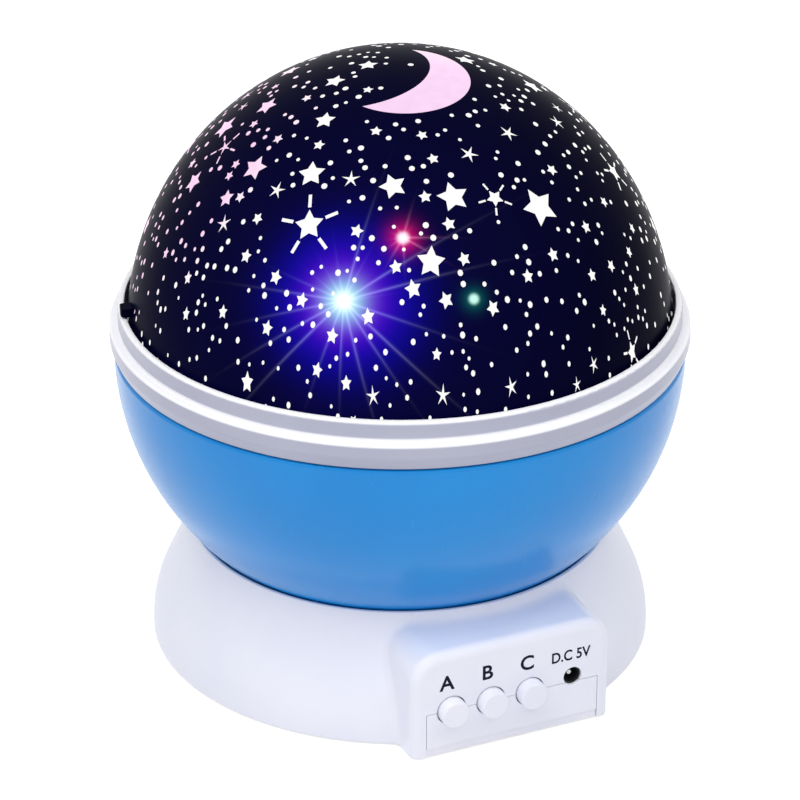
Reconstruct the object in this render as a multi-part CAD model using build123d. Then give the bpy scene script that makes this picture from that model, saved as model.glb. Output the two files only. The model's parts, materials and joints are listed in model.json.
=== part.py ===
from build123d import *
from math import atan, cos, degrees, pi, radians, sin, sqrt, tan
import os

# Star night light projector: a rotating ball (bowl, rim and star dome) on a battery base.
# Millimetres, +Z up. The origin is on the table, on the axis that the ball turns about.
# The control panel faces -Y.

# ---- Fits and small screws ---------------------------------------------------------------
SLIP_FIT = 0.2                # gap per side between fixed parts that push together
RUN_GAP = 0.3                 # gap per side between parts that move past each other
SCREW_R = 0.85                # M1.7 self-tapping screws, used throughout the inside
PILOT_R = 0.9
CLEAR_R = 1.2
HEAD_R = 1.95
SINK_DEPTH = 1.2

# ---- Ball: bowl, rim and dome ------------------------------------------------------------
BALL_WALL = 2.0
BOWL_R = 61.6                 # horizontal radius of the bowl's ellipsoid
BOWL_RISE = 60.0              # vertical radius
BOWL_MID_Z = 68.3             # height of its widest circle
BOWL_TOP_Z = 68.9
BOWL_FLOOR_Z = 21.0           # underside of the flat floor
BOWL_FLOOR_THICK = 2.5
BOWL_HOLE_R = 15.2

RIM_PROUD = 0.9               # the rim stands this far outside the bowl
RIM_STEP_IN = 1.9             # from the rim's widest circle to its upper, narrower band
RIM_WALL = 1.55
RIM_R = BOWL_R + RIM_PROUD    # widest circle of the whole object
RIM_STEP_R = RIM_R - RIM_STEP_IN
RIM_SEAM_R = BOWL_R - SLIP_FIT
RIM_BORE_R = RIM_STEP_R - RIM_WALL
RIM_BOTTOM_Z = 69.2
RIM_WIDE_Z = 71.8
RIM_STEP_Z = 75.0
RIM_TOP_Z = 79.4
LEDGE_TOP_Z = 72.7
LEDGE_THICK = 1.5
TONGUE_DEPTH = 2.5            # the rim's tongue reaches this far into the bowl
TONGUE_WALL = 1.3

DOME_PLAY = 0.25
DOME_R = RIM_BORE_R - DOME_PLAY
DOME_RISE = 62.2
DOME_MID_Z = 70.7
DOME_EDGE_Z = 73.0
DOME_WALL = 1.6

PLATE_R = RIM_BORE_R - 3.75   # white reflector under the dome
PLATE_THICK = 1.5
PLATE_HOLE_R = 10.5
RIM_SCREW_CIRCLE = PLATE_R - 1.6
LEDGE_R = RIM_SCREW_CIRCLE - 2.5
RIM_SCREW_ANGLES = (30, 150, 270)
RIM_BOSS_R = 2.9
RIM_BOSS_FOOT_Z = 45.0

HOOK_ANGLES = (95, 215, 335)  # bayonet hooks of the dome, in their locked place
HOOK_SPAN = 6.0               # degrees
HOOK_NECK_R = (DOME_R - 1.3, DOME_R - 0.2)
HOOK_FOOT_R = DOME_R - 2.6
HOOK_FOOT_Z = (69.9, 70.9)
TWIST = 15.0                  # degrees from locked to free
HOOK_PLAY = 0.6               # degrees of play at each end of a slot
THUMB_TAB_ANGLE = 166.4
THUMB_TAB_SPAN = 3.2
THUMB_TAB_R = DOME_R + 1.5
THUMB_TAB_Z = (79.8, 81.7)

# ---- Base --------------------------------------------------------------------------------
BASE_R = 0.7 * BOWL_R + 11.88   # the bowl is 0.7 times as wide down at the base's mouth
BASE_BOTTOM_Z = 0.6
BASE_SKIRT_TOP_Z = 1.6
BASE_SHOULDER_R = 26.4        # radius of the wall's arc, seen from the side
BASE_LEAN = 24.6              # degrees that the wall leans in above the arc
BASE_TOP_Z = 27.2
BASE_WALL = 2.2
LIP_R = 0.35
DECK_Z = 18.0
DECK_THICK = 2.0
POST_R = 3.2
BASE_SCREW_CIRCLE = BASE_R - 12
BASE_SCREW_ANGLES = (20, 160, 245, 295)
BASE_SCREW_R = 1.1
BASE_HEAD_R = 2.4
FOOT_CIRCLE = BASE_R - 11
FOOT_R = 5.5
FOOT_THICK = 1.2
COVER_THICK = 2.0
COVER_GAP = 0.2

BOX_HALF_WIDTH = 23.0         # control box on the front of the base
BOX_FRONT_Y = -BASE_R - 2.6
BOX_TOP_Z = 24.8
BOX_CORNER_R = 6.2
BOX_EDGE_R = 2.2
BOX_BLEND_R = 2.5             # hollow blend where the box meets the round wall
BOX_WALL = 2.0
BOX_ROOM_HALF = BOX_HALF_WIDTH - BOX_WALL - 0.5
PANEL_HALF_WIDTH = BOX_HALF_WIDTH - 3   # lower part of the panel, moulded with the bottom cover
PANEL_SEAM_Z = 10.9
PANEL_GAP = 0.15
PANEL_STEP = 0.35             # the panel's foot stands back by this much
PANEL_STEP_Z = 2.5

# ---- Controls ----------------------------------------------------------------------------
BUTTON_NAMES = ("a", "b", "c")
BUTTON_FIRST_X = -14.2
BUTTON_PITCH = 9.1
BUTTON_R = 3.1
BUTTON_PROUD = 2.7
BUTTON_FLANGE_R = 4.1
BUTTON_FLANGE_THICK = 1.2
BUTTON_TRAVEL = 1.0
BUTTON_GAP = 0.25
SWITCH_SIDE = 6.0
SWITCH_TALL = 3.2
PLUNGER_R = 1.7
PLUNGER_GAP = 0.1
SOCKET_X = 14.0
SOCKET_Z = 12.2
SOCKET_BORE_R = 1.8
SOCKET_HOLE_R = 2.1
SOCKET_NOSE_R = 2.9           # the socket's nose, in a pocket behind the panel's skin
SOCKET_SKIN = 0.6
SOCKET_PIN_R = 0.65
SOCKET_SIDE = 5.6
BOARD_HALF_WIDTH = BOX_ROOM_HALF - 1.5
BOARD_Z = (3.6, 17.6)
BOARD_THICK = 1.6
BOARD_BOSS_R = 1.8
BOARD_SCREWS = ((-9.65, 15.6), (8.7, 15.6))
CAPACITOR_X = -14.8

# ---- Batteries ---------------------------------------------------------------------------
CELL_R = 5.25                 # AAA
CELL_LENGTH = 44.5
CELL_NUB_R = 1.9
CELL_NUB_LENGTH = 0.8
CELL_PITCH = 10.9
CELL_Z = 9.4
CELL_COUNT = 4
BAY_HALF_X = 25.5
BAY_HALF_Y = 22.0
BAY_WALL = 2.0
BAY_ROOF_Z = 14.9
BAY_ROOF_THICK = 1.5
CONTACT_THICK = 0.4
SPRING_R = 2.6
SPRING_WIRE_R = 0.3
SPRING_TURNS = 3.5
TAIL_Z = 12.0
TAIL_WIDTH = 3.0
TAIL_PROUD = 1.6              # the solder tail stands this far out of the bay's wall
DOOR_HALF_X = 26.2
DOOR_Y = (-22.7, 21.7)
DOOR_GAP = 0.3
DOOR_TAB_X = (-15.0, 15.0)
DOOR_TAB_HALF = 4.0
DOOR_TAB_REACH = 2.5
DOOR_TAB_THICK = 1.2
DOOR_EAR_HALF = 5.0
DOOR_EAR_END_Y = -30.0
DOOR_SCREW_Y = -26.3
DOOR_SCREW_R = 1.2
DOOR_HEAD_R = 2.3

# ---- Lamp column, drive and lamp ---------------------------------------------------------
COLUMN_R = 10.0
COLUMN_BORE_R = 6.5
COLUMN_TOP_Z = 36.0
COLUMN_FLANGE_R = 14.5
COLUMN_FLANGE_THICK = 2.0
COLUMN_SCREW_CIRCLE = 12.3
COLUMN_SCREW_ANGLES = (90, 210, 330)
BUSH_WALL = 1.9
BUSH_TOP_Z = 30.0
BUSH_PLAY = 0.15
CLIP_THICK = 1.2
CLIP_R = 12.0
CLIP_DEPTH = 0.8
WASHER_R = (17.0, 27.0)
WASHER_THICK = 0.9

MODULE = 1.0
RING_TEETH = 60
PINION_TEETH = 12
PRESSURE_ANGLE = 20.0
BACKLASH = 0.15
RING_ADDENDUM = 0.6 * MODULE
RING_DEDENDUM = 1.1 * MODULE
PINION_ADDENDUM = 0.9 * MODULE
PINION_DEDENDUM = 1.15 * MODULE
GEAR_OUTER_R = 34.0
GEAR_WEB_THICK = 1.8
GEAR_TOP_Z = 31.0
GEAR_SCREW_CIRCLE = 18.0
GEAR_SCREW_ANGLES = (0, 120, 240)
PINION_Z = (25.8, 30.8)
SHAFT_R = 1.5
CENTRE_DISTANCE = MODULE * (RING_TEETH - PINION_TEETH) / 2

CHASSIS_THICK = 2.5
CHASSIS_R = 13.0
CHASSIS_HALF_WIDTH = 10.0
CHASSIS_END_Y = 35.0
GEARBOX_HALF_X = 8.5
GEARBOX_Y = (13.0, 34.0)
GEARBOX_TALL = 12.0
EAR_X = 11.2
EAR_R = 2.6
EAR_THICK = 2.0
MOTOR_R = 7.5
MOTOR_HALF_FLAT = 6.0
MOTOR_TALL = 14.0
MOTOR_Y = 22.5

LAMP_POST_R = 5.5
LAMP_POST_BORE_R = 3.8
LAMP_FLANGE_R = 10.4
LAMP_FLANGE_THICK = 2.0
LAMP_SCREW_CIRCLE = 8.25
LAMP_SCREW_ANGLES = (30, 150, 270)
LAMP_HEAD_R = 9.0
LAMP_HEAD_THICK = 3.0
LAMP_BOARD_Z = 77.5
LAMP_BOARD_R = 20.0
LAMP_BOARD_THICK = 1.6
LAMP_BOARD_SCREW_CIRCLE = 6.9
LED_CIRCLE = 16.0
LED_ANGLES = {"blue": 186.0, "green": 305.6, "red": 65.6}
LED_R = 2.5
LED_COLLAR_R = 2.9
LED_TALL = 8.6

WIRE_R = 0.4
WIRE_PITCH = 0.9
WIRE_COUNT = 7
WIRE_DECK_Z = 17.2

# ---- Values that follow from the ones above ----------------------------------------------
DECK_TOP_Z = DECK_Z + DECK_THICK
BOWL_INSIDE_Z = BOWL_FLOOR_Z + BOWL_FLOOR_THICK
LEDGE_Z = LEDGE_TOP_Z - LEDGE_THICK
PLATE_Z = LEDGE_Z - PLATE_THICK
COVER_TOP_Z = BASE_BOTTOM_Z + COVER_THICK
BOX_INSIDE_Y = BOX_FRONT_Y + BOX_WALL
SOCKET_POCKET_Y = BOX_FRONT_Y + SOCKET_SKIN
FLANGE_Y = BOX_INSIDE_Y + RUN_GAP
SWITCH_PUSH_Y = FLANGE_Y + BUTTON_FLANGE_THICK
SWITCH_TOP_Y = SWITCH_PUSH_Y + BUTTON_TRAVEL + 2 * BUTTON_GAP
BOARD_FRONT_Y = SWITCH_TOP_Y + SWITCH_TALL
BOARD_BACK_Y = BOARD_FRONT_Y + BOARD_THICK
SWITCH_WELL_Y = BOARD_FRONT_Y - 0.6
BUTTON_X = [BUTTON_FIRST_X + BUTTON_PITCH * i for i in range(len(BUTTON_NAMES))]
CHASSIS_TOP_Z = COLUMN_TOP_Z + CHASSIS_THICK
GEAR_WEB_TOP_Z = BOWL_INSIDE_Z + GEAR_WEB_THICK
MOTOR_Z = CHASSIS_TOP_Z + GEARBOX_TALL
MOTOR_TOP_Z = MOTOR_Z + MOTOR_TALL
TAB_LOW_Z = COVER_TOP_Z + DOOR_GAP
FAR = 200.0                   # longer than anything it cuts
UPRIGHT = (Align.CENTER, Align.CENTER, Align.MIN)


# ---- Plain solids ------------------------------------------------------------------------
def block(x, y, z):
    """A box from pairs of low and high values."""
    size = [high - low for low, high in (x, y, z)]
    middle = [(low + high) / 2 for low, high in (x, y, z)]
    return Pos(*middle) * Box(*size)


def rod(radius, z, x=0.0, y=0.0):
    """An upright cylinder between two heights."""
    low, high = z
    return Pos(x, y, low) * Cylinder(radius, high - low, align=UPRIGHT)


def rod_y(radius, y, x, z):
    """A cylinder along Y between two places."""
    low, high = y
    return Pos(x, low, z) * Rot(-90, 0, 0) * Cylinder(radius, high - low, align=UPRIGHT)


def rod_x(radius, x, y, z):
    """A cylinder along X between two places."""
    low, high = x
    return Pos(low, y, z) * Rot(0, 90, 0) * Cylinder(radius, high - low, align=UPRIGHT)


def funnel(radii, z, x=0.0, y=0.0):
    """An upright cone between two heights, with its lower and upper radius."""
    low, high = z
    return Pos(x, y, low) * Cone(radii[0], radii[1], high - low, align=UPRIGHT)


def tube(outer, inner, z, x=0.0, y=0.0):
    """An upright ring."""
    return rod(outer, z, x, y) - rod(inner, z, x, y)


def on_circle(radius, angle):
    """The x and y of a place on a circle about the ball's axis."""
    return radius * cos(radians(angle)), radius * sin(radians(angle))


def sector(radii, z, start, end):
    """A piece of an upright ring between two angles, in degrees."""
    inner, outer = radii
    middle = (start + end) / 2
    reach = 2 * outer
    wedge = make_face(Polyline((0, 0), on_circle(reach, start), on_circle(reach, middle),
                               on_circle(reach, end), close=True))
    flat = (Circle(outer) - Circle(inner)) & wedge
    return Pos(0, 0, z[0]) * extrude(flat, z[1] - z[0])


def turned(section):
    """A solid of revolution about Z from a section drawn as radius and height."""
    return revolve(Plane.XZ * section, Axis.Z, 360)


def oval(radius, rise, middle):
    """An ellipse in the section plane, centred on the axis."""
    return Pos(0, middle) * Ellipse(radius, rise)


def strip(z, radii=(0.0, FAR)):
    """A rectangle in the section plane."""
    return Pos((radii[0] + radii[1]) / 2, (z[0] + z[1]) / 2) * Rectangle(radii[1] - radii[0], z[1] - z[0])


def rounded(section, corners):
    """The section with each listed corner rounded; corners are (place, radius)."""
    for place, radius in corners:
        nearest = section.vertices().sort_by_distance(Vector(*place))[0]
        section = fillet(nearest, radius)
    return section


def group(solids):
    """Separate solids kept in one node."""
    return Compound(children=[part.solid() for part in solids])


def countersunk(radius, head_radius, top, tip):
    """A countersunk screw on the axis, its flat head at the top height, pointing down."""
    lean = head_radius - radius
    section = Polyline((0, tip), (radius - 0.3, tip), (radius, tip + 0.5), (radius, top - lean),
                       (head_radius, top - 0.15), (head_radius, top), (0, top), close=True)
    cross = block((-head_radius * 0.6, head_radius * 0.6), (-0.25, 0.25), (top - 0.7, top + 1))
    return turned(make_face(section)) - cross - Rot(0, 0, 90) * cross


def pan_screw(radius, head_radius, seat, tip, head_tall=1.4):
    """A pan-head screw on the axis, its head standing on the seat height, pointing down."""
    top = seat + head_tall
    section = make_face(Polyline((0, tip), (radius - 0.3, tip), (radius, tip + 0.5), (radius, seat),
                                 (head_radius, seat), (head_radius, top), (0, top), close=True))
    section = rounded(section, [((head_radius, top), 0.6)])
    cross = block((-head_radius * 0.55, head_radius * 0.55), (-0.25, 0.25), (top - 0.7, top + 1))
    return turned(section) - cross - Rot(0, 0, 90) * cross


# ---- Ball --------------------------------------------------------------------------------
def bowl():
    outer = oval(BOWL_R, BOWL_RISE, BOWL_MID_Z)
    inner = oval(BOWL_R - BALL_WALL, BOWL_RISE - BALL_WALL, BOWL_MID_Z)
    cavity = inner & strip((BOWL_INSIDE_Z, FAR))
    section = (outer & strip((BOWL_FLOOR_Z, BOWL_TOP_Z), (BOWL_HOLE_R, FAR))) - cavity
    shell = turned(section)
    mouth = shell.edges().filter_by(GeomType.CIRCLE).group_by(Axis.Z)[-1].sort_by(SortBy.RADIUS)[-1]
    shell = fillet(mouth, 0.7)
    body = turned(outer & strip((BOWL_FLOOR_Z, PLATE_Z)))
    for angle in RIM_SCREW_ANGLES:
        boss = rod(RIM_BOSS_R, (RIM_BOSS_FOOT_Z, PLATE_Z), RIM_SCREW_CIRCLE, 0)
        rib_top = RIM_BOTTOM_Z - TONGUE_DEPTH - 2 * RUN_GAP
        rib = block((RIM_SCREW_CIRCLE, BOWL_R), (-1, 1), (RIM_BOSS_FOOT_Z, rib_top))
        pilot = rod(PILOT_R, (PLATE_Z - 7, FAR), RIM_SCREW_CIRCLE, 0)
        shell += Rot(0, 0, angle) * (((boss + rib) & body) - pilot)
        shell -= Rot(0, 0, angle) * pilot
    for angle in GEAR_SCREW_ANGLES:
        shell -= rod(PILOT_R, (BOWL_FLOOR_Z + 0.3, FAR), *on_circle(GEAR_SCREW_CIRCLE, angle))
    return shell


def rim_section():
    """The rim's section: an outer wall with one step, an inner ledge and a tongue for the bowl."""
    tongue_r = BOWL_R - BALL_WALL - SLIP_FIT
    tongue_z = RIM_BOTTOM_Z - TONGUE_DEPTH
    section = make_face(Polyline(
        (tongue_r, RIM_BOTTOM_Z),
        (RIM_SEAM_R, RIM_BOTTOM_Z),
        (RIM_R, RIM_WIDE_Z),
        (RIM_R - 0.15, RIM_STEP_Z),
        (RIM_STEP_R, RIM_STEP_Z),
        (RIM_STEP_R - 0.05, RIM_TOP_Z),
        (RIM_BORE_R, RIM_TOP_Z),
        (RIM_BORE_R, LEDGE_TOP_Z),
        (LEDGE_R, LEDGE_TOP_Z),
        (LEDGE_R, LEDGE_Z),
        (tongue_r - TONGUE_WALL, LEDGE_Z),
        (tongue_r - TONGUE_WALL, tongue_z),
        (tongue_r, tongue_z),
        close=True))
    return rounded(section, [
        ((RIM_SEAM_R, RIM_BOTTOM_Z), 0.5),
        ((RIM_R, RIM_WIDE_Z), 2.0),
        ((RIM_R - 0.15, RIM_STEP_Z), 0.5),
        ((RIM_STEP_R, RIM_STEP_Z), 0.3),
        ((RIM_STEP_R - 0.05, RIM_TOP_Z), 0.9),
        ((RIM_BORE_R, RIM_TOP_Z), 0.3)])


def rim_ring():
    ring = turned(rim_section())
    entry_r = (HOOK_FOOT_R - RUN_GAP, HOOK_NECK_R[1] + RUN_GAP)
    neck_r = (HOOK_NECK_R[0] - RUN_GAP, HOOK_NECK_R[1] + RUN_GAP)
    half = HOOK_SPAN / 2 + HOOK_PLAY
    ledge = (LEDGE_Z - RUN_GAP, LEDGE_TOP_Z)
    pocket = (RIM_BOTTOM_Z + RUN_GAP, LEDGE_Z)
    for angle in HOOK_ANGLES:
        free = angle - TWIST
        ring -= sector(entry_r, ledge, free - half, free + half)
        ring -= sector(neck_r, ledge, free - half, angle + half)
        ring -= sector(entry_r, pocket, free - half, angle + half)
    for angle in RIM_SCREW_ANGLES:
        ring -= rod(CLEAR_R, (LEDGE_Z - 1, FAR), *on_circle(RIM_SCREW_CIRCLE, angle))
    return ring


def reflector_plate():
    plate = tube(PLATE_R, PLATE_HOLE_R, (PLATE_Z, LEDGE_Z))
    for angle in RIM_SCREW_ANGLES:
        plate -= rod(CLEAR_R, (PLATE_Z - 1, FAR), *on_circle(RIM_SCREW_CIRCLE, angle))
    return plate


def rim_screws():
    screw = pan_screw(SCREW_R, HEAD_R, LEDGE_TOP_Z, PLATE_Z - 6)
    return group([Pos(*on_circle(RIM_SCREW_CIRCLE, angle), 0) * screw for angle in RIM_SCREW_ANGLES])


def star_dome():
    outer = oval(DOME_R, DOME_RISE, DOME_MID_Z)
    inner = oval(DOME_R - DOME_WALL, DOME_RISE - DOME_WALL, DOME_MID_Z)
    shell = turned((outer - inner) & strip((DOME_EDGE_Z, FAR)))
    for angle in HOOK_ANGLES:
        start = angle - HOOK_SPAN / 2
        end = angle + HOOK_SPAN / 2
        shell += sector(HOOK_NECK_R, (HOOK_FOOT_Z[0], DOME_EDGE_Z + 1.5), start, end)
        shell += sector((HOOK_FOOT_R, HOOK_NECK_R[1]), HOOK_FOOT_Z, start, end)
    start = THUMB_TAB_ANGLE - THUMB_TAB_SPAN / 2
    tab = sector((DOME_R - 2 * DOME_WALL, THUMB_TAB_R), THUMB_TAB_Z, start, start + THUMB_TAB_SPAN)
    tab = fillet(tab.edges().filter_by(Axis.Z).sort_by_distance((0, 0, 0))[-2:], 1.0)
    return shell + (tab - turned(inner & strip((DOME_MID_Z, FAR))))


# ---- Ball drive --------------------------------------------------------------------------
def involute(base_radius, radius):
    """The involute function, in radians, at a radius on a tooth's flank."""
    slope = sqrt(max((radius / base_radius) ** 2 - 1, 0))
    return slope - atan(slope)


def gear_face(teeth, root_radius, tip_radius, tooth_width, steps):
    """A gear's outline with involute flanks. One tooth is centred on +Y."""
    pitch_radius = MODULE * teeth / 2
    base_radius = pitch_radius * cos(radians(PRESSURE_ANGLE))
    start_radius = max(root_radius, base_radius)
    radii = [start_radius + (tip_radius - start_radius) * i / steps for i in range(steps + 1)]
    if root_radius < base_radius:
        radii.insert(0, root_radius)
    half_angles = [tooth_width / 2 / pitch_radius + involute(base_radius, pitch_radius)
                   - involute(base_radius, radius) for radius in radii]
    flank = [(radius, degrees(half)) for radius, half in zip(radii, half_angles)]
    points = []
    for tooth in range(teeth):
        middle = 90 + tooth * 360 / teeth
        points += [on_circle(radius, middle - half) for radius, half in flank]
        points += [on_circle(radius, middle + half) for radius, half in reversed(flank)]
    return make_face(Polyline(*points, close=True))


def ring_gear():
    pitch_radius = MODULE * RING_TEETH / 2
    spaces = gear_face(RING_TEETH, pitch_radius - RING_ADDENDUM, pitch_radius + RING_DEDENDUM,
                       pi * MODULE / 2 + BACKLASH, 2)
    rim = Pos(0, 0, GEAR_WEB_TOP_Z) * extrude(Circle(GEAR_OUTER_R) - spaces, GEAR_TOP_Z - GEAR_WEB_TOP_Z)
    bore = COLUMN_R + BUSH_PLAY + BUSH_WALL
    gear = rim + tube(GEAR_OUTER_R, bore, (BOWL_INSIDE_Z, GEAR_WEB_TOP_Z))
    for angle in GEAR_SCREW_ANGLES:
        x, y = on_circle(GEAR_SCREW_CIRCLE, angle)
        gear -= rod(PILOT_R, (BOWL_INSIDE_Z - 1, FAR), x, y)
        gear -= funnel((PILOT_R, HEAD_R + SLIP_FIT), (GEAR_WEB_TOP_Z - SINK_DEPTH, GEAR_WEB_TOP_Z), x, y)
    return gear


def gear_screws():
    screw = countersunk(SCREW_R, HEAD_R, GEAR_WEB_TOP_Z, BOWL_FLOOR_Z + 0.5)
    return group([Pos(*on_circle(GEAR_SCREW_CIRCLE, angle), 0) * screw for angle in GEAR_SCREW_ANGLES])


def hub_bush():
    bore = COLUMN_R + BUSH_PLAY
    return tube(bore + BUSH_WALL, bore, (BOWL_INSIDE_Z, BUSH_TOP_Z))


def drive_pinion():
    pitch_radius = MODULE * PINION_TEETH / 2
    face = gear_face(PINION_TEETH, pitch_radius - PINION_DEDENDUM, pitch_radius + PINION_ADDENDUM,
                     pi * MODULE / 2 - BACKLASH, 4)
    gear = extrude(face, PINION_Z[1] - PINION_Z[0])
    collar = rod(3.4, (0, COLUMN_TOP_Z - 1 - PINION_Z[0]))
    bore = rod(SHAFT_R, (-1, FAR)) - block((-SHAFT_R, SHAFT_R), (SHAFT_R - 0.5, FAR), (-1, FAR))
    return Pos(0, CENTRE_DISTANCE, PINION_Z[0]) * (gear + collar - bore)


def drive_shaft():
    """The gear motor's D-shaped output shaft."""
    shaft = rod(SHAFT_R, (PINION_Z[0], CHASSIS_TOP_Z + 4))
    flat = block((-SHAFT_R, SHAFT_R), (SHAFT_R - 0.5, FAR), (0, COLUMN_TOP_Z - 1))
    return Pos(0, CENTRE_DISTANCE, 0) * (shaft - flat)


def thrust_washer():
    return tube(WASHER_R[1], WASHER_R[0], (DECK_TOP_Z, DECK_TOP_Z + WASHER_THICK))


def lamp_column():
    column = tube(COLUMN_R, COLUMN_BORE_R, (DECK_TOP_Z, COLUMN_TOP_Z))
    column += tube(COLUMN_FLANGE_R, COLUMN_BORE_R, (DECK_TOP_Z, DECK_TOP_Z + COLUMN_FLANGE_THICK))
    groove_z = BUSH_TOP_Z + RUN_GAP
    column -= tube(FAR, COLUMN_R - CLIP_DEPTH, (groove_z, groove_z + CLIP_THICK))
    top = DECK_TOP_Z + COLUMN_FLANGE_THICK
    for angle in COLUMN_SCREW_ANGLES:
        x, y = on_circle(COLUMN_SCREW_CIRCLE, angle)
        column -= rod(PILOT_R, (DECK_Z, top), x, y)
        column -= funnel((PILOT_R, HEAD_R + SLIP_FIT), (top - SINK_DEPTH, top), x, y)
    for angle in LAMP_SCREW_ANGLES:
        column -= rod(PILOT_R, (COLUMN_TOP_Z - 4.5, FAR), *on_circle(LAMP_SCREW_CIRCLE, angle))
    return column


def column_screws():
    screw = countersunk(SCREW_R, HEAD_R, DECK_TOP_Z + COLUMN_FLANGE_THICK, DECK_Z + 0.3)
    return group([Pos(*on_circle(COLUMN_SCREW_CIRCLE, angle), 0) * screw for angle in COLUMN_SCREW_ANGLES])


def retaining_ring():
    z = BUSH_TOP_Z + RUN_GAP
    ring = tube(CLIP_R, COLUMN_R - CLIP_DEPTH, (z, z + CLIP_THICK))
    return ring - block((-4, 4), (-FAR, 0), (z - 1, z + CLIP_THICK + 1))


def motor_chassis():
    z = (COLUMN_TOP_Z, CHASSIS_TOP_Z)
    plate = rod(CHASSIS_R, z) + block((-CHASSIS_HALF_WIDTH, CHASSIS_HALF_WIDTH), (0, CHASSIS_END_Y), z)
    ears_y = (CENTRE_DISTANCE - EAR_R, CENTRE_DISTANCE + EAR_R)
    plate += block((-EAR_X - EAR_R, EAR_X + EAR_R), ears_y, z)
    plate -= rod(COLUMN_BORE_R - 1, (0, FAR))
    plate -= rod(SHAFT_R + 2.5, (0, FAR), 0, CENTRE_DISTANCE)
    for side in (-1, 1):
        plate -= rod(PILOT_R, (0, FAR), side * EAR_X, CENTRE_DISTANCE)
    for angle in LAMP_SCREW_ANGLES:
        plate -= rod(CLEAR_R, (0, FAR), *on_circle(LAMP_SCREW_CIRCLE, angle))
    return plate


def gearbox():
    """The sealed reduction gearbox, with two screw ears and a hole for its output shaft."""
    case = block((-GEARBOX_HALF_X, GEARBOX_HALF_X), GEARBOX_Y, (CHASSIS_TOP_Z, MOTOR_Z))
    case = fillet(case.edges().filter_by(Axis.Z), 2.0)
    ears_y = (CENTRE_DISTANCE - EAR_R, CENTRE_DISTANCE + EAR_R)
    ears_z = (CHASSIS_TOP_Z, CHASSIS_TOP_Z + EAR_THICK)
    case += block((-EAR_X, EAR_X), ears_y, ears_z)
    for side in (-1, 1):
        case += rod(EAR_R, ears_z, side * EAR_X, CENTRE_DISTANCE)
    for side in (-1, 1):
        case -= rod(CLEAR_R, (CHASSIS_TOP_Z - 1, CHASSIS_TOP_Z + 3), side * EAR_X, CENTRE_DISTANCE)
    return case - rod(SHAFT_R + 0.15, (0, CHASSIS_TOP_Z + 4.3), 0, CENTRE_DISTANCE)


def motor_screws():
    screw = pan_screw(SCREW_R, HEAD_R, CHASSIS_TOP_Z + EAR_THICK, COLUMN_TOP_Z + 0.2)
    return group([Pos(side * EAR_X, CENTRE_DISTANCE, 0) * screw for side in (-1, 1)])


def motor_can():
    can = rod(MOTOR_R, (MOTOR_Z, MOTOR_TOP_Z), 0, MOTOR_Y)
    can &= block((-MOTOR_HALF_FLAT, MOTOR_HALF_FLAT), (0, FAR), (0, FAR))
    can += rod(2.6, (MOTOR_TOP_Z, MOTOR_TOP_Z + 1.2), 0, MOTOR_Y)
    for side in (-1, 1):
        can += block(sorted((side * 2.2, side * 4.0)), (MOTOR_Y - 3.4, MOTOR_Y - 3.0),
                     (MOTOR_TOP_Z - 1, MOTOR_TOP_Z + 2.4))
    return can


# ---- Lamp --------------------------------------------------------------------------------
def lamp_post():
    head_z = LAMP_BOARD_Z - LAMP_HEAD_THICK
    post = rod(LAMP_FLANGE_R, (CHASSIS_TOP_Z, CHASSIS_TOP_Z + LAMP_FLANGE_THICK))
    post += rod(LAMP_POST_R, (CHASSIS_TOP_Z, LAMP_BOARD_Z))
    post += rod(LAMP_HEAD_R, (head_z, LAMP_BOARD_Z))
    post -= rod(LAMP_POST_BORE_R, (0, FAR))
    post -= block((-3.4, 3.4), (0, FAR), (MOTOR_TOP_Z - 5, MOTOR_TOP_Z + 3))
    for angle in LAMP_SCREW_ANGLES:
        post -= rod(CLEAR_R, (0, CHASSIS_TOP_Z + 5), *on_circle(LAMP_SCREW_CIRCLE, angle))
    for side in (-1, 1):
        post -= rod(PILOT_R, (head_z + 0.5, FAR), side * LAMP_BOARD_SCREW_CIRCLE, 0)
    return post


def lamp_post_screws():
    screw = pan_screw(SCREW_R, HEAD_R, CHASSIS_TOP_Z + LAMP_FLANGE_THICK, COLUMN_TOP_Z - 4)
    return group([Pos(*on_circle(LAMP_SCREW_CIRCLE, angle), 0) * screw for angle in LAMP_SCREW_ANGLES])


def lamp_board():
    board = rod(LAMP_BOARD_R, (LAMP_BOARD_Z, LAMP_BOARD_Z + LAMP_BOARD_THICK))
    for side in (-1, 1):
        board -= rod(CLEAR_R, (0, FAR), side * LAMP_BOARD_SCREW_CIRCLE, 0)
    return board


def lamp_board_screws():
    screw = pan_screw(SCREW_R, HEAD_R, LAMP_BOARD_Z + LAMP_BOARD_THICK, LAMP_BOARD_Z - 2.2)
    return group([Pos(side * LAMP_BOARD_SCREW_CIRCLE, 0, 0) * screw for side in (-1, 1)])


def led(x, y):
    """A round lamp diode with a domed top and a collar, standing on the lamp board."""
    low = LAMP_BOARD_Z + LAMP_BOARD_THICK
    lens_z = low + LED_TALL - LED_R
    body = rod(LED_R, (low, lens_z)) + Pos(0, 0, lens_z) * Sphere(LED_R)
    return Pos(x, y, 0) * (body + rod(LED_COLLAR_R, (low, low + 1)))


# ---- Wires -------------------------------------------------------------------------------
def wire(points, radii):
    """A wire along straight runs joined by arcs, one radius for each corner."""
    path = FilletPolyline(*points, radius=radii)
    return sweep(Plane(origin=path @ 0, z_dir=path % 0) * Circle(WIRE_R), path=path)


def ribbon_x(index):
    """The place across the ribbon of one of its wires."""
    return (index - (WIRE_COUNT - 1) / 2) * WIRE_PITCH


def ribbon_start(x):
    """The way that every ribbon wire takes from the main board to the column."""
    return [(x, BOARD_BACK_Y, 12.5), (x, BOARD_BACK_Y + 3.5, 12.5), (x, BOARD_BACK_Y + 8, WIRE_DECK_Z),
            (x, 0, WIRE_DECK_Z)]


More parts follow.
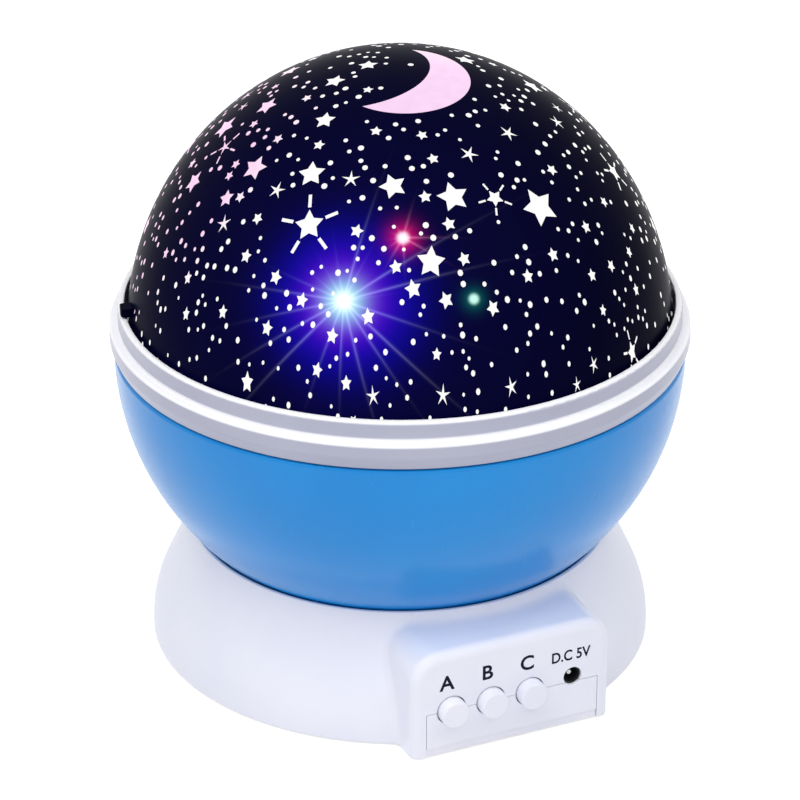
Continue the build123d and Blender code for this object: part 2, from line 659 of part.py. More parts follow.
def lamp_wires():
    """Five wires up the column and the lamp post to the underside of the lamp board."""
    wires = []
    for index in range(1, WIRE_COUNT - 1):
        x = ribbon_x(index)
        wires.append(wire(ribbon_start(x) + [(x, 0, LAMP_BOARD_Z)], [2.0, 2.0, 3.0]))
    return group(wires)


def motor_wires():
    """The ribbon's two outer wires, which leave the lamp post by its window for the motor's tabs."""
    wires = []
    for index in (0, WIRE_COUNT - 1):
        x = ribbon_x(index)
        end = [(x, 0, MOTOR_TOP_Z - 3), (x, 8, MOTOR_TOP_Z + 1.4), (x, MOTOR_Y - 3.4, MOTOR_TOP_Z + 1.4)]
        wires.append(wire(ribbon_start(x) + end, [2.0, 2.0, 3.0, 3.0, 4.0]))
    return group(wires)


def battery_wires():
    """One wire from each outer contact's tail, round the battery bay to the main board."""
    level = TAIL_Z + CONTACT_THICK + WIRE_R
    start = BAY_HALF_X + BAY_WALL + TAIL_PROUD - 1.2
    cell = cell_y(CELL_COUNT - 1)
    front = wire([(start, -cell, level), (33, -cell, level), (33, -27, level - 1),
                  (25, BOARD_BACK_Y + 5.6, 8.5), (15, BOARD_BACK_Y + 2.4, 7), (15, BOARD_BACK_Y, 7)],
                 [2.0, 4.0, 5.0, 2.0])
    back = wire([(start, cell, level), (36, cell, level), (36, -28, level - 2.5),
                 (26, BOARD_BACK_Y + 3.0, 6.5), (11.5, BOARD_BACK_Y + 2.4, 5), (11.5, BOARD_BACK_Y, 5)],
                [2.0, 6.0, 5.0, 2.0])
    return group([front, back])


# ---- Base --------------------------------------------------------------------------------
def base_outline(inset, bottom, top):
    """The region inside the base's wall: a short skirt, a shoulder arc and a straight lean."""
    radius = BASE_R - inset
    floor = Line((0, bottom), (radius, bottom))
    skirt = Line((radius, bottom), (radius, BASE_SKIRT_TOP_Z))
    shoulder = JernArc(skirt @ 1, (0, 1), BASE_SHOULDER_R - inset, BASE_LEAN)
    rise = top - (shoulder @ 1).Y
    slope = Line(shoulder @ 1, shoulder @ 1 + Vector(-rise * tan(radians(BASE_LEAN)), rise))
    lid = Line(slope @ 1, (0, top))
    axis = Line((0, top), (0, bottom))
    return make_face([floor, skirt, shoulder, slope, lid, axis])


def box_body():
    """The outer shape of the control box."""
    z = (BASE_BOTTOM_Z, BOX_TOP_Z)
    face = make_face(Polyline((-BOX_HALF_WIDTH, z[0]), (BOX_HALF_WIDTH, z[0]), (BOX_HALF_WIDTH, z[1]),
                              (-BOX_HALF_WIDTH, z[1]), close=True))
    face = rounded(face, [((side * BOX_HALF_WIDTH, z[1]), BOX_CORNER_R) for side in (-1, 1)])
    body = extrude(Plane.XZ * face, 60)
    body &= block((-FAR, FAR), (BOX_FRONT_Y, -30), (-FAR, FAR))
    front = body.faces().sort_by(Axis.Y)[0].edges()
    upper = [edge for edge in front if edge.center().Z > BASE_BOTTOM_Z + 0.1]
    return fillet(upper, BOX_EDGE_R)


def base_body():
    """The base's outer shape: the round wall and the control box, blended where they meet."""
    joined = turned(base_outline(0, BASE_BOTTOM_Z, BASE_TOP_Z)) + box_body()
    seam = []
    for edge in joined.edges():
        middle = edge.center()
        beside_box = abs(middle.X) < BOX_HALF_WIDTH + 0.1 and BOX_INSIDE_Y < middle.Y < -BASE_R + 15
        if beside_box and middle.Z > BASE_SKIRT_TOP_Z and edge.geom_type != GeomType.LINE:
            seam.append(edge)
    return fillet(seam, BOX_BLEND_R)


def panel_holes():
    """The holes for the buttons and the socket, through either half of the panel."""
    y = (BOX_FRONT_Y - 1, BOX_INSIDE_Y + 0.2)
    holes = rod_y(SOCKET_HOLE_R, y, SOCKET_X, SOCKET_Z)
    holes += rod_y(SOCKET_NOSE_R + SLIP_FIT, (SOCKET_POCKET_Y, y[1]), SOCKET_X, SOCKET_Z)
    for x in BUTTON_X:
        holes += rod_y(BUTTON_R + BUTTON_GAP, y, x, PANEL_SEAM_Z)
    return holes


def base_shell():
    outer = base_outline(0, BASE_BOTTOM_Z, BASE_TOP_Z)
    inner = base_outline(BASE_WALL, BASE_BOTTOM_Z - 1, BASE_TOP_Z + 1)
    wall = outer - inner - oval(BOWL_R + RUN_GAP, BOWL_RISE + RUN_GAP, BOWL_MID_Z)
    lip = wall.vertices().sort_by(Axis.Y)[-2:]
    hollow = base_outline(0, BASE_BOTTOM_Z - 1, BASE_TOP_Z + 1) - fillet(lip, LIP_R)
    deck = outer & strip((DECK_Z, DECK_TOP_Z), (COLUMN_BORE_R, FAR))
    inside = (-BOX_ROOM_HALF, BOX_ROOM_HALF)
    low_room = block(inside, (BOX_INSIDE_Y, -30), (BASE_BOTTOM_Z - 1, DECK_Z))
    high_room = block(inside, (BOX_INSIDE_Y, -30), (DECK_Z - 6, BOX_TOP_Z - BOX_WALL))
    high_room = fillet(high_room.edges().filter_by(Axis.Y).group_by(Axis.Z)[-1], BOX_CORNER_R - BOX_WALL)
    high_room -= turned(outer)
    shell = base_body() - turned(hollow) + turned(deck)
    shell = shell - low_room - high_room
    for x in BUTTON_X:
        shell -= rod_y(BUTTON_FLANGE_R + BUTTON_GAP, (BOX_INSIDE_Y, SWITCH_TOP_Y), x, PANEL_SEAM_Z)
    for angle in BASE_SCREW_ANGLES:
        x, y = on_circle(BASE_SCREW_CIRCLE, angle)
        shell += rod(POST_R, (COVER_TOP_Z, DECK_Z), x, y)
        shell -= rod(BASE_SCREW_R + 0.05, (COVER_TOP_Z - 1, COVER_TOP_Z + 9), x, y)
    for angle in COLUMN_SCREW_ANGLES:
        shell -= rod(PILOT_R, (DECK_Z - 1, DECK_TOP_Z + 1), *on_circle(COLUMN_SCREW_CIRCLE, angle))
    for x, z in BOARD_SCREWS:
        shell += rod_y(BOARD_BOSS_R, (BOX_INSIDE_Y - 0.5, BOARD_FRONT_Y), x, z)
        shell -= rod_y(0.8, (BOX_INSIDE_Y + 0.3, BOARD_FRONT_Y + 1), x, z)
    panel = block((-PANEL_HALF_WIDTH, PANEL_HALF_WIDTH), (BOX_FRONT_Y - 1, BOX_INSIDE_Y + 1),
                  (BASE_BOTTOM_Z - 1, PANEL_SEAM_Z))
    return shell - panel - panel_holes()


def bottom_cover():
    """The base's floor with the battery bay and the lower half of the control panel."""
    z = (BASE_BOTTOM_Z, COVER_TOP_Z)
    width = PANEL_HALF_WIDTH - PANEL_GAP
    cover = rod(BASE_R - BASE_WALL - COVER_GAP, z)
    cover += block((-width, width), (BOX_FRONT_Y, -30), z)
    cover += block((-width, width), (BOX_FRONT_Y, BOX_INSIDE_Y), (BASE_BOTTOM_Z, PANEL_SEAM_Z - PANEL_GAP))
    cover -= block((-width, width), (BOX_FRONT_Y, BOX_FRONT_Y + PANEL_STEP), (BASE_BOTTOM_Z, PANEL_STEP_Z))
    outer_x = BAY_HALF_X + BAY_WALL
    outer_y = BAY_HALF_Y + BAY_WALL
    cover += block((-outer_x, outer_x), (-outer_y, outer_y), (BASE_BOTTOM_Z, BAY_ROOF_Z + BAY_ROOF_THICK))
    cover += block((-DOOR_EAR_HALF - 2.5, DOOR_EAR_HALF + 2.5), (DOOR_EAR_END_Y - 2, -BAY_HALF_Y),
                   (BASE_BOTTOM_Z, BASE_BOTTOM_Z + 8.4))
    cover -= block((-BAY_HALF_X, BAY_HALF_X), (-BAY_HALF_Y, BAY_HALF_Y), (BASE_BOTTOM_Z - 1, BAY_ROOF_Z))
    opening_x = DOOR_HALF_X + DOOR_GAP
    notch_x = DOOR_EAR_HALF + DOOR_GAP
    opening_z = (BASE_BOTTOM_Z - 1, TAB_LOW_Z)
    cover -= block((-opening_x, opening_x), (DOOR_Y[0] - DOOR_GAP, BAY_HALF_Y), opening_z)
    cover -= block((-notch_x, notch_x), (DOOR_EAR_END_Y - DOOR_GAP, 0), opening_z)
    cover -= rod(DOOR_SCREW_R + 0.4, (0, BASE_BOTTOM_Z + 7.6), 0, DOOR_SCREW_Y)
    half_window = DOOR_TAB_HALF + 0.5
    for x in DOOR_TAB_X:
        cover -= block((x - half_window, x + half_window), (BAY_HALF_Y - 1, outer_y + 1),
                       (COVER_TOP_Z, COVER_TOP_Z + 2.7))
    half_slot = TAIL_WIDTH / 2 + SLIP_FIT
    slot_z = (TAIL_Z - SLIP_FIT, TAIL_Z + CONTACT_THICK + SLIP_FIT)
    for y in (cell_y(0), cell_y(CELL_COUNT - 1)):
        cover -= block((BAY_HALF_X - 1, outer_x + 1), (y - half_slot, y + half_slot), slot_z)
    for angle in BASE_SCREW_ANGLES:
        x, y = on_circle(BASE_SCREW_CIRCLE, angle)
        cover -= rod(1.5, (0, FAR), x, y)
        cover -= funnel((BASE_HEAD_R + 0.3, 1.5), (BASE_BOTTOM_Z, BASE_BOTTOM_Z + 1.3), x, y)
    for index in range(4):
        cover -= rod(FOOT_R + COVER_GAP, (0, FOOT_THICK), *on_circle(FOOT_CIRCLE, 45 + 90 * index))
    return cover - panel_holes()


def base_screws():
    screw = Rot(180, 0, 0) * countersunk(BASE_SCREW_R, BASE_HEAD_R, -BASE_BOTTOM_Z - 0.1, -COVER_TOP_Z - 8)
    return group([Pos(*on_circle(BASE_SCREW_CIRCLE, angle), 0) * screw for angle in BASE_SCREW_ANGLES])


def foot(index):
    pad = rod(FOOT_R, (0, FOOT_THICK), *on_circle(FOOT_CIRCLE, 45 + 90 * index))
    return fillet(pad.edges().sort_by(Axis.Z)[0], 0.4)


# ---- Batteries ---------------------------------------------------------------------------
def cell_y(index):
    return (index - (CELL_COUNT - 1) / 2) * CELL_PITCH


def cell_side(index):
    """The side, +1 or -1 along X, where a cell's positive end lies. It alternates."""
    return 1 if index % 2 == 0 else -1


def battery(index):
    """An AAA cell along X, its nub against a contact."""
    tip = BAY_HALF_X - CONTACT_THICK
    shoulder = tip - CELL_NUB_LENGTH
    body = rod_x(CELL_R, (tip - CELL_LENGTH, shoulder), 0, 0)
    body = fillet(body.edges().filter_by(GeomType.CIRCLE), 0.5)
    cell = body + rod_x(CELL_NUB_R, (shoulder, tip), 0, 0)
    return Pos(0, cell_y(index), CELL_Z) * Rot(0, 0, 0 if cell_side(index) > 0 else 180) * cell


def contact(side, indexes):
    """A contact plate at one end of the bay, across one cell or two."""
    outer = BAY_HALF_X
    x = sorted((side * (outer - CONTACT_THICK), side * outer))
    low = cell_y(indexes[0]) - 3.6
    high = cell_y(indexes[-1]) + 3.6
    plate = block(x, (low, high), (5.0, 13.8))
    if len(indexes) == 1:
        middle = cell_y(indexes[0])
        plate += block((outer - CONTACT_THICK, outer + BAY_WALL + TAIL_PROUD),
                       (middle - TAIL_WIDTH / 2, middle + TAIL_WIDTH / 2), (TAIL_Z, TAIL_Z + CONTACT_THICK))
    return plate


def battery_contacts():
    right = [contact(1, indexes) for indexes in ((0,), (1, 2), (3,))]
    left = [contact(-1, indexes) for indexes in ((0, 1), (2, 3))]
    return group(right + left)


def battery_springs():
    """A coil spring at the flat end of each cell."""
    springs = []
    start = BAY_HALF_X - CONTACT_THICK - SPRING_WIRE_R
    end = CELL_LENGTH - BAY_HALF_X + CONTACT_THICK + SPRING_WIRE_R
    length = start - end
    coil = Helix(pitch=length / SPRING_TURNS, height=length, radius=SPRING_R, direction=(-1, 0, 0))
    start_plane = Plane(origin=coil @ 0, z_dir=coil % 0)
    spring = sweep(start_plane * Circle(SPRING_WIRE_R), path=coil, is_frenet=True)
    for index in range(CELL_COUNT):
        turn = Rot(0, 0, 180 if cell_side(index) > 0 else 0)
        springs.append(Pos(0, cell_y(index), CELL_Z) * turn * Pos(start, 0, 0) * spring)
    return group(springs)


def battery_door():
    """The door in the base's floor: a plate with cell ribs, hinge tabs and a screw ear."""
    z = (BASE_BOTTOM_Z, COVER_TOP_Z)
    door = block((-DOOR_HALF_X, DOOR_HALF_X), DOOR_Y, z)
    door += block((-DOOR_EAR_HALF, DOOR_EAR_HALF), (DOOR_EAR_END_Y, 0), z)
    for x in (-14, 14):
        door += block((x - 1, x + 1), (-20, 18.5), (z[0], CELL_Z - CELL_R - 0.3))
    tab_y = (DOOR_Y[1] - 2.7, BAY_HALF_Y + DOOR_TAB_REACH)
    for x in DOOR_TAB_X:
        tab_x = (x - DOOR_TAB_HALF, x + DOOR_TAB_HALF)
        door += block(tab_x, tab_y, (TAB_LOW_Z, TAB_LOW_Z + DOOR_TAB_THICK))
        door += block(tab_x, (tab_y[0], DOOR_Y[1]), (z[0], TAB_LOW_Z + 0.5))
    hole_r = DOOR_SCREW_R + 0.15
    door -= rod(hole_r, (0, FAR), 0, DOOR_SCREW_Y)
    return door - funnel((DOOR_HEAD_R + 0.4, hole_r), (z[0], z[0] + hole_r), 0, DOOR_SCREW_Y)


def door_screw():
    top = -BASE_BOTTOM_Z - 0.1
    screw = Rot(180, 0, 0) * countersunk(DOOR_SCREW_R, DOOR_HEAD_R, top, top - 5.3)
    return Pos(0, DOOR_SCREW_Y, 0) * screw


# ---- Controls ----------------------------------------------------------------------------
def button(x):
    cap = rod_y(BUTTON_R, (BOX_FRONT_Y - BUTTON_PROUD, FLANGE_Y), x, PANEL_SEAM_Z)
    cap = fillet(cap.edges().sort_by(Axis.Y)[0], 0.5)
    return cap + rod_y(BUTTON_FLANGE_R, (FLANGE_Y, SWITCH_PUSH_Y), x, PANEL_SEAM_Z)


def switch(x):
    """A square push switch on the main board, with a well for its plunger."""
    half = SWITCH_SIDE / 2
    z = (PANEL_SEAM_Z - half, PANEL_SEAM_Z + half)
    body = block((x - half, x + half), (SWITCH_TOP_Y, BOARD_FRONT_Y), z)
    return body - rod_y(PLUNGER_R + PLUNGER_GAP, (SWITCH_TOP_Y - 1, SWITCH_WELL_Y), x, PANEL_SEAM_Z)


def plunger(x):
    return rod_y(PLUNGER_R, (SWITCH_PUSH_Y, SWITCH_WELL_Y - BUTTON_TRAVEL - 0.2), x, PANEL_SEAM_Z)


def main_board():
    board = block((-BOARD_HALF_WIDTH, BOARD_HALF_WIDTH), (BOARD_FRONT_Y, BOARD_BACK_Y), BOARD_Z)
    for x, z in BOARD_SCREWS:
        board -= rod_y(1.1, (BOARD_FRONT_Y - 1, BOARD_BACK_Y + 1), x, z)
    return board


def board_screws():
    screw = Rot(90, 0, 0) * pan_screw(0.75, 1.7, 0, -5.5)
    return group([Pos(x, BOARD_BACK_Y, z) * Rot(0, 0, 180) * screw for x, z in BOARD_SCREWS])


def controller_chip():
    """The control chip with two rows of leads, on the back of the main board."""
    body = block((-15.2, -6.6), (BOARD_BACK_Y + 0.15, BOARD_BACK_Y + 1.6), (5.1, 8.9))
    for index in range(7):
        x = -10.9 + (index - 3) * 1.2
        body += block((x - 0.2, x + 0.2), (BOARD_BACK_Y, BOARD_BACK_Y + 0.6), (4.2, 9.8))
    return body


def capacitor():
    can = rod_y(2.5, (BOARD_BACK_Y, BOARD_BACK_Y + 5.5), CAPACITOR_X, 13.6)
    return fillet(can.edges().sort_by(Axis.Y)[-1], 0.4)


def dc_socket():
    half = SOCKET_SIDE / 2
    body = block((SOCKET_X - half - 0.4, SOCKET_X + half + 0.4), (BOX_INSIDE_Y + 0.15, BOARD_FRONT_Y),
                 (SOCKET_Z - half, SOCKET_Z + half))
    body += rod_y(SOCKET_NOSE_R, (SOCKET_POCKET_Y + 0.15, BOX_INSIDE_Y + 0.5), SOCKET_X, SOCKET_Z)
    return body - rod_y(SOCKET_BORE_R, (BOX_FRONT_Y, BOARD_FRONT_Y - 0.8), SOCKET_X, SOCKET_Z)


def dc_pin():
    pin = rod_y(SOCKET_PIN_R, (BOX_FRONT_Y + 1.6, BOARD_FRONT_Y - 0.8), SOCKET_X, SOCKET_Z)
    return fillet(pin.edges().sort_by(Axis.Y)[0], 0.3)


# ---- The whole projector -----------------------------------------------------------------
def all_parts():
    parts = {
        "bowl": bowl(),
        "rim_ring": rim_ring(),
        "reflector_plate": reflector_plate(),
        "rim_screws": rim_screws(),
        "star_dome": star_dome(),
        "ring_gear": ring_gear(),
        "gear_screws": gear_screws(),
        "hub_bush": hub_bush(),
        "drive_pinion": drive_pinion(),
        "drive_shaft": drive_shaft(),
        "thrust_washer": thrust_washer(),
        "lamp_column": lamp_column(),
        "column_screws": column_screws(),
        "retaining_ring": retaining_ring(),
        "motor_chassis": motor_chassis(),
        "gearbox": gearbox(),
        "motor_can": motor_can(),
        "motor_screws": motor_screws(),
        "lamp_post": lamp_post(),
        "lamp_post_screws": lamp_post_screws(),
        "lamp_board": lamp_board(),
        "lamp_board_screws": lamp_board_screws(),
        "led_white": led(0, 0),
        "lamp_wires": lamp_wires(),
        "motor_wires": motor_wires(),
        "battery_wires": battery_wires(),
        "base_shell": base_shell(),
        "bottom_cover": bottom_cover(),
        "base_screws": base_screws(),
        "battery_contacts": battery_contacts(),
        "battery_springs": battery_springs(),
        "battery_door": battery_door(),
        "door_screw": door_screw(),
        "main_board": main_board(),
        "board_screws": board_screws(),
        "controller_chip": controller_chip(),
        "capacitor": capacitor(),
        "dc_socket": dc_socket(),
        "dc_pin": dc_pin(),
    }
    for colour, angle in LED_ANGLES.items():
        parts["led_" + colour] = led(*on_circle(LED_CIRCLE, angle))
    for index in range(4):
        parts[f"foot_{index + 1}"] = foot(index)
    for index in range(CELL_COUNT):
        parts[f"battery_{index + 1}"] = battery(index)
    for name, x in zip(BUTTON_NAMES, BUTTON_X):
        parts["button_" + name] = button(x)
        parts["switch_" + name] = switch(x)
        parts["plunger_" + name] = plunger(x)
    return parts


os.makedirs("parts", exist_ok=True)
for node, shape in all_parts().items():
    export_step(shape, f"parts/{node}.step")
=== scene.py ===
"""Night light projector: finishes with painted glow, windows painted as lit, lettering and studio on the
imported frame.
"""
import json
import logging
import math
import random
from dataclasses import dataclass, field, replace
from enum import Enum
from typing import Callable, ClassVar

import bmesh
import bpy
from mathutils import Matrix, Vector


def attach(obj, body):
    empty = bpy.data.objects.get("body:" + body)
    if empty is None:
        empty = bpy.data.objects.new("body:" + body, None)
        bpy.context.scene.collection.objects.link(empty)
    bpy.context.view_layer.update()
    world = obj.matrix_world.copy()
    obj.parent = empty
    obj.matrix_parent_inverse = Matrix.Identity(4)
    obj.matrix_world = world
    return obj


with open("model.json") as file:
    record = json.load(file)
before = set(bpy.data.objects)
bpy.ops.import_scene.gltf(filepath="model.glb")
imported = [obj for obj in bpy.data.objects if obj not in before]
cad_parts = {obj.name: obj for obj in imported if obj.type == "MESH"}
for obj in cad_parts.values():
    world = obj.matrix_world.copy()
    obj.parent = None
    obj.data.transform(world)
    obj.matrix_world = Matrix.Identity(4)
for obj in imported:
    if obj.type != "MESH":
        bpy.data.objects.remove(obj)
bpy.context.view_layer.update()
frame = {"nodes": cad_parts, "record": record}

LOG = logging.getLogger("projector")
MM = 0.001
Colour = tuple[float, float, float, float]
Place = Callable[[float, float], Vector]


def srgb(red: float, green: float, blue: float) -> Colour:
    """Turns a display colour into the linear one that a shader takes.

    Args:
        red: Display red, 0 to 255.
        green: Display green, 0 to 255.
        blue: Display blue, 0 to 255.

    Returns:
        Linear red, green and blue, and an alpha of 1.
    """
    def linear(value: float) -> float:
        """Returns one channel made linear."""
        value /= 255
        return value / 12.92 if value <= 0.04045 else ((value + 0.055) / 1.055) ** 2.4
    return linear(red), linear(green), linear(blue), 1.0


# ---- Node trees --------------------------------------------------------------------------
class Graph:
    """A node tree under construction, which adds a node and wires it in one call."""

    def __init__(self, tree: bpy.types.NodeTree) -> None:
        """Starts on an existing tree."""
        self.tree = tree

    def node(self, kind: str, inputs: dict | None = None, **settings: object) -> bpy.types.Node:
        """Adds a shader node.

        Args:
            kind: The node's type, without its ShaderNode prefix.
            inputs: A value or a socket for each input, by name or number.
            **settings: Properties that are set before the inputs are.

        Returns:
            The new node.
        """
        made = self.tree.nodes.new(f"ShaderNode{kind}")
        for name, value in settings.items():
            setattr(made, name, value)
        for key, value in (inputs or {}).items():
            if isinstance(value, bpy.types.NodeSocket):
                self.tree.links.new(value, made.inputs[key])
            else:
                made.inputs[key].default_value = value
        return made

    def math(self, operation: str, *values: object, clamp: bool = False) -> bpy.types.NodeSocket:
        """Returns the result of a Math node on these values or sockets."""
        return self.node("Math", dict(enumerate(values)), operation=operation, use_clamp=clamp).outputs[0]

    def vector(self, operation: str, *values: object) -> bpy.types.NodeSocket:
        """Returns the vector result of a Vector Math node, or its number for a dot product or length."""
        made = self.node("VectorMath", dict(enumerate(values)), operation=operation)
        return made.outputs["Value" if operation in ("DOT_PRODUCT", "LENGTH") else "Vector"]

    def mix(self, factor: object, first: object, second: object) -> bpy.types.NodeSocket:
        """Returns the colour between two colours or colour sockets."""
        made = self.node("Mix", {0: factor, 6: first, 7: second}, data_type="RGBA")
        return made.outputs[2]

    def ramp(self, value: object, low: float, high: float, bottom: float = 0.0,
             top: float = 1.0) -> bpy.types.NodeSocket:
        """Returns a value eased from bottom to top as the input goes from low to high."""
        made = self.node("MapRange", {0: value, 1: low, 2: high, 3: bottom, 4: top},
                         interpolation_type="SMOOTHSTEP")
        return made.outputs[0]

    def noise(self, scale: float, detail: float = 2.0, at: object = None) -> bpy.types.NodeSocket:
        """Returns a noise value in object space, or at the given coordinates."""
        spot = at if at is not None else self.place()
        return self.node("TexNoise", {"Vector": spot, "Scale": scale, "Detail": detail}).outputs[0]

    def place(self) -> bpy.types.NodeSocket:
        """Returns the object coordinates."""
        return self.node("TexCoord").outputs["Object"]


@dataclass(frozen=True)
class Group:
    """A shared shader effect, kept as one node group that every material of its kind uses."""

    name: str
    inputs: tuple[tuple[str, str, object], ...]
    outputs: tuple[tuple[str, str], ...]

    def tree(self, fill: Callable[[Graph, bpy.types.Node, bpy.types.Node], None]) -> bpy.types.NodeTree:
        """Finds the group, or makes it.

        Args:
            fill: Adds the nodes, given the graph and the group's input and output nodes.

        Returns:
            The group's node tree.
        """
        found = bpy.data.node_groups.get(self.name)
        if found:
            return found
        tree = bpy.data.node_groups.new(self.name, "ShaderNodeTree")
        for name, kind, value in self.inputs:
            socket = tree.interface.new_socket(name, in_out="INPUT", socket_type=f"NodeSocket{kind}")
            socket.default_value = value
        for name, kind in self.outputs:
            tree.interface.new_socket(name, in_out="OUTPUT", socket_type=f"NodeSocket{kind}")
        fill(Graph(tree), tree.nodes.new("NodeGroupInput"), tree.nodes.new("NodeGroupOutput"))
        return tree


MOULDED = Group(
    "moulded_skin",
    (("Colour", "Color", (0.8, 0.8, 0.8, 1.0)), ("Shade", "Color", (0.7, 0.7, 0.7, 1.0)),
     ("Roughness", "Float", 0.35), ("Grain", "Float", 0.1)),
    (("Colour", "Color"), ("Roughness", "Float"), ("Normal", "Vector")))


def fill_moulded(graph: Graph, given: bpy.types.Node, result: bpy.types.Node) -> None:
    """Fills the moulded plastic group: soft colour drift, handling marks and a fine grain.

    Args:
        graph: The group's graph.
        given: Its input node.
        result: Its output node.
    """
    link = graph.tree.links.new
    drift = graph.ramp(graph.noise(38.0, 3.0), 0.3, 0.75)
    speck = graph.ramp(graph.noise(1400.0, 1.0), 0.45, 0.8, 0.0, 0.35)
    tone = graph.math("MAXIMUM", drift, speck)
    link(graph.mix(tone, given.outputs["Colour"], given.outputs["Shade"]), result.inputs["Colour"])
    stretch = graph.node("Mapping", {"Vector": graph.place(), "Rotation": (0.3, 0.5, 0.9),
                                     "Scale": (900.0, 60.0, 60.0)}).outputs[0]
    rubbed = graph.ramp(graph.noise(1.0, 4.0, stretch), 0.55, 0.75, 0.0, 0.03)
    cloudy = graph.ramp(graph.noise(60.0, 4.0), 0.25, 0.8, -0.02, 0.03)
    rough = graph.math("ADD", graph.math("ADD", given.outputs["Roughness"], rubbed), cloudy, clamp=True)
    link(rough, result.inputs["Roughness"])
    grain = graph.math("ADD", graph.noise(2600.0, 2.0), graph.math("MULTIPLY", graph.noise(160.0, 2.0), 0.6))
    bump = graph.node("Bump", {"Strength": given.outputs["Grain"], "Distance": 0.00005, "Height": grain})
    link(bump.outputs[0], result.inputs["Normal"])


def new_material(name: str) -> tuple[bpy.types.Material, Graph, bpy.types.Node]:
    """Makes an empty node material.

    Args:
        name: The material's name.

    Returns:
        The material, its graph and its Principled node, which feeds the output.
    """
    made = bpy.data.materials.new(name)
    made.use_nodes = True
    made.node_tree.nodes.clear()
    graph = Graph(made.node_tree)
    shader = graph.node("BsdfPrincipled")
    graph.node("OutputMaterial", {"Surface": shader.outputs[0]})
    return made, graph, shader


def use_group(graph: Graph, tree: bpy.types.NodeTree, inputs: dict) -> bpy.types.Node:
    """Adds a node group to a material.

    Args:
        graph: The material's graph.
        tree: The group.
        inputs: Its inputs, values or sockets.

    Returns:
        The group node.
    """
    made = graph.tree.nodes.new("ShaderNodeGroup")
    made.node_tree = tree
    for key, value in inputs.items():
        if isinstance(value, bpy.types.NodeSocket):
            graph.tree.links.new(value, made.inputs[key])
        else:
            made.inputs[key].default_value = value
    return made


# ---- Finishes ----------------------------------------------------------------------------
@dataclass(frozen=True)
class Plastic:
    """Moulded plastic with a soft colour drift, a fine grain and a gloss coat."""

    colour: Colour
    shade: Colour
    roughness: float = 0.35
    grain: float = 0.1
    coat: float = 0.0
    specular: float = 0.5
    coat_roughness: float = 0.08

    def build(self, name: str) -> bpy.types.Material:
        """Returns the finish's material under this name."""
        made, graph, shader = new_material(name)
        skin = use_group(graph, MOULDED.tree(fill_moulded), {
            "Colour": self.colour, "Shade": self.shade,
            "Roughness": self.roughness, "Grain": self.grain})
        for source, target in (("Colour", "Base Color"), ("Roughness", "Roughness"), ("Normal", "Normal")):
            graph.tree.links.new(skin.outputs[source], shader.inputs[target])
        shader.inputs["Coat Weight"].default_value = self.coat
        shader.inputs["Coat Roughness"].default_value = self.coat_roughness
        shader.inputs["Specular IOR Level"].default_value = self.specular
        return made


@dataclass(frozen=True)
class PaintedHighlightPlastic:
    """Moulded plastic with painted highlights: paler within a reach of its level edges, at heights in metres.
    """

    body: Plastic
    edge: Colour
    heights: tuple[float, ...]
    reach: float

    def build(self, name: str) -> bpy.types.Material:
        """Returns the finish's material under this name."""
        made = self.body.build(name)
        graph = Graph(made.node_tree)
        skin = next(node for node in made.node_tree.nodes if node.type == "GROUP")
        shader = next(node for node in made.node_tree.nodes if node.type == "BSDF_PRINCIPLED")
        height = graph.node("SeparateXYZ", {0: graph.place()}).outputs[2]
        highlight_share = 0.0
        for level in self.heights:
            away = graph.math("ABSOLUTE", graph.math("SUBTRACT", height, level))
            highlight_share = graph.math("MAXIMUM", highlight_share, graph.ramp(away, self.reach * 0.4, self.reach, 1.0, 0.0))
        # Painted highlight: the bands at the edges are mixed to the paler colour.
        colour = graph.mix(highlight_share, skin.outputs["Colour"], self.edge)
        graph.tree.links.new(colour, shader.inputs["Base Color"])
        return made


@dataclass(frozen=True)
class Metal:
    """Plated or drawn metal with fine lines and slight tarnish."""

    colour: Colour
    tarnish: Colour
    roughness: float = 0.3

    def build(self, name: str) -> bpy.types.Material:
        """Returns the finish's material under this name."""
        made, graph, shader = new_material(name)
        lines = graph.node("Mapping", {"Vector": graph.place(), "Scale": (300.0, 300.0, 6000.0)}).outputs[0]
        drawn = graph.noise(1.0, 3.0, lines)
        spots = graph.ramp(graph.noise(420.0, 4.0), 0.5, 0.75)
        link = graph.tree.links.new
        link(graph.mix(spots, self.colour, self.tarnish), shader.inputs["Base Color"])
        rough = graph.math("ADD", graph.ramp(drawn, 0.3, 0.7, -0.08, 0.12), self.roughness, clamp=True)
        link(rough, shader.inputs["Roughness"])
        bump = graph.node("Bump", {"Strength": 0.15, "Distance": 0.00005, "Height": drawn})
        link(bump.outputs[0], shader.inputs["Normal"])
        shader.inputs["Metallic"].default_value = 1.0
        return made


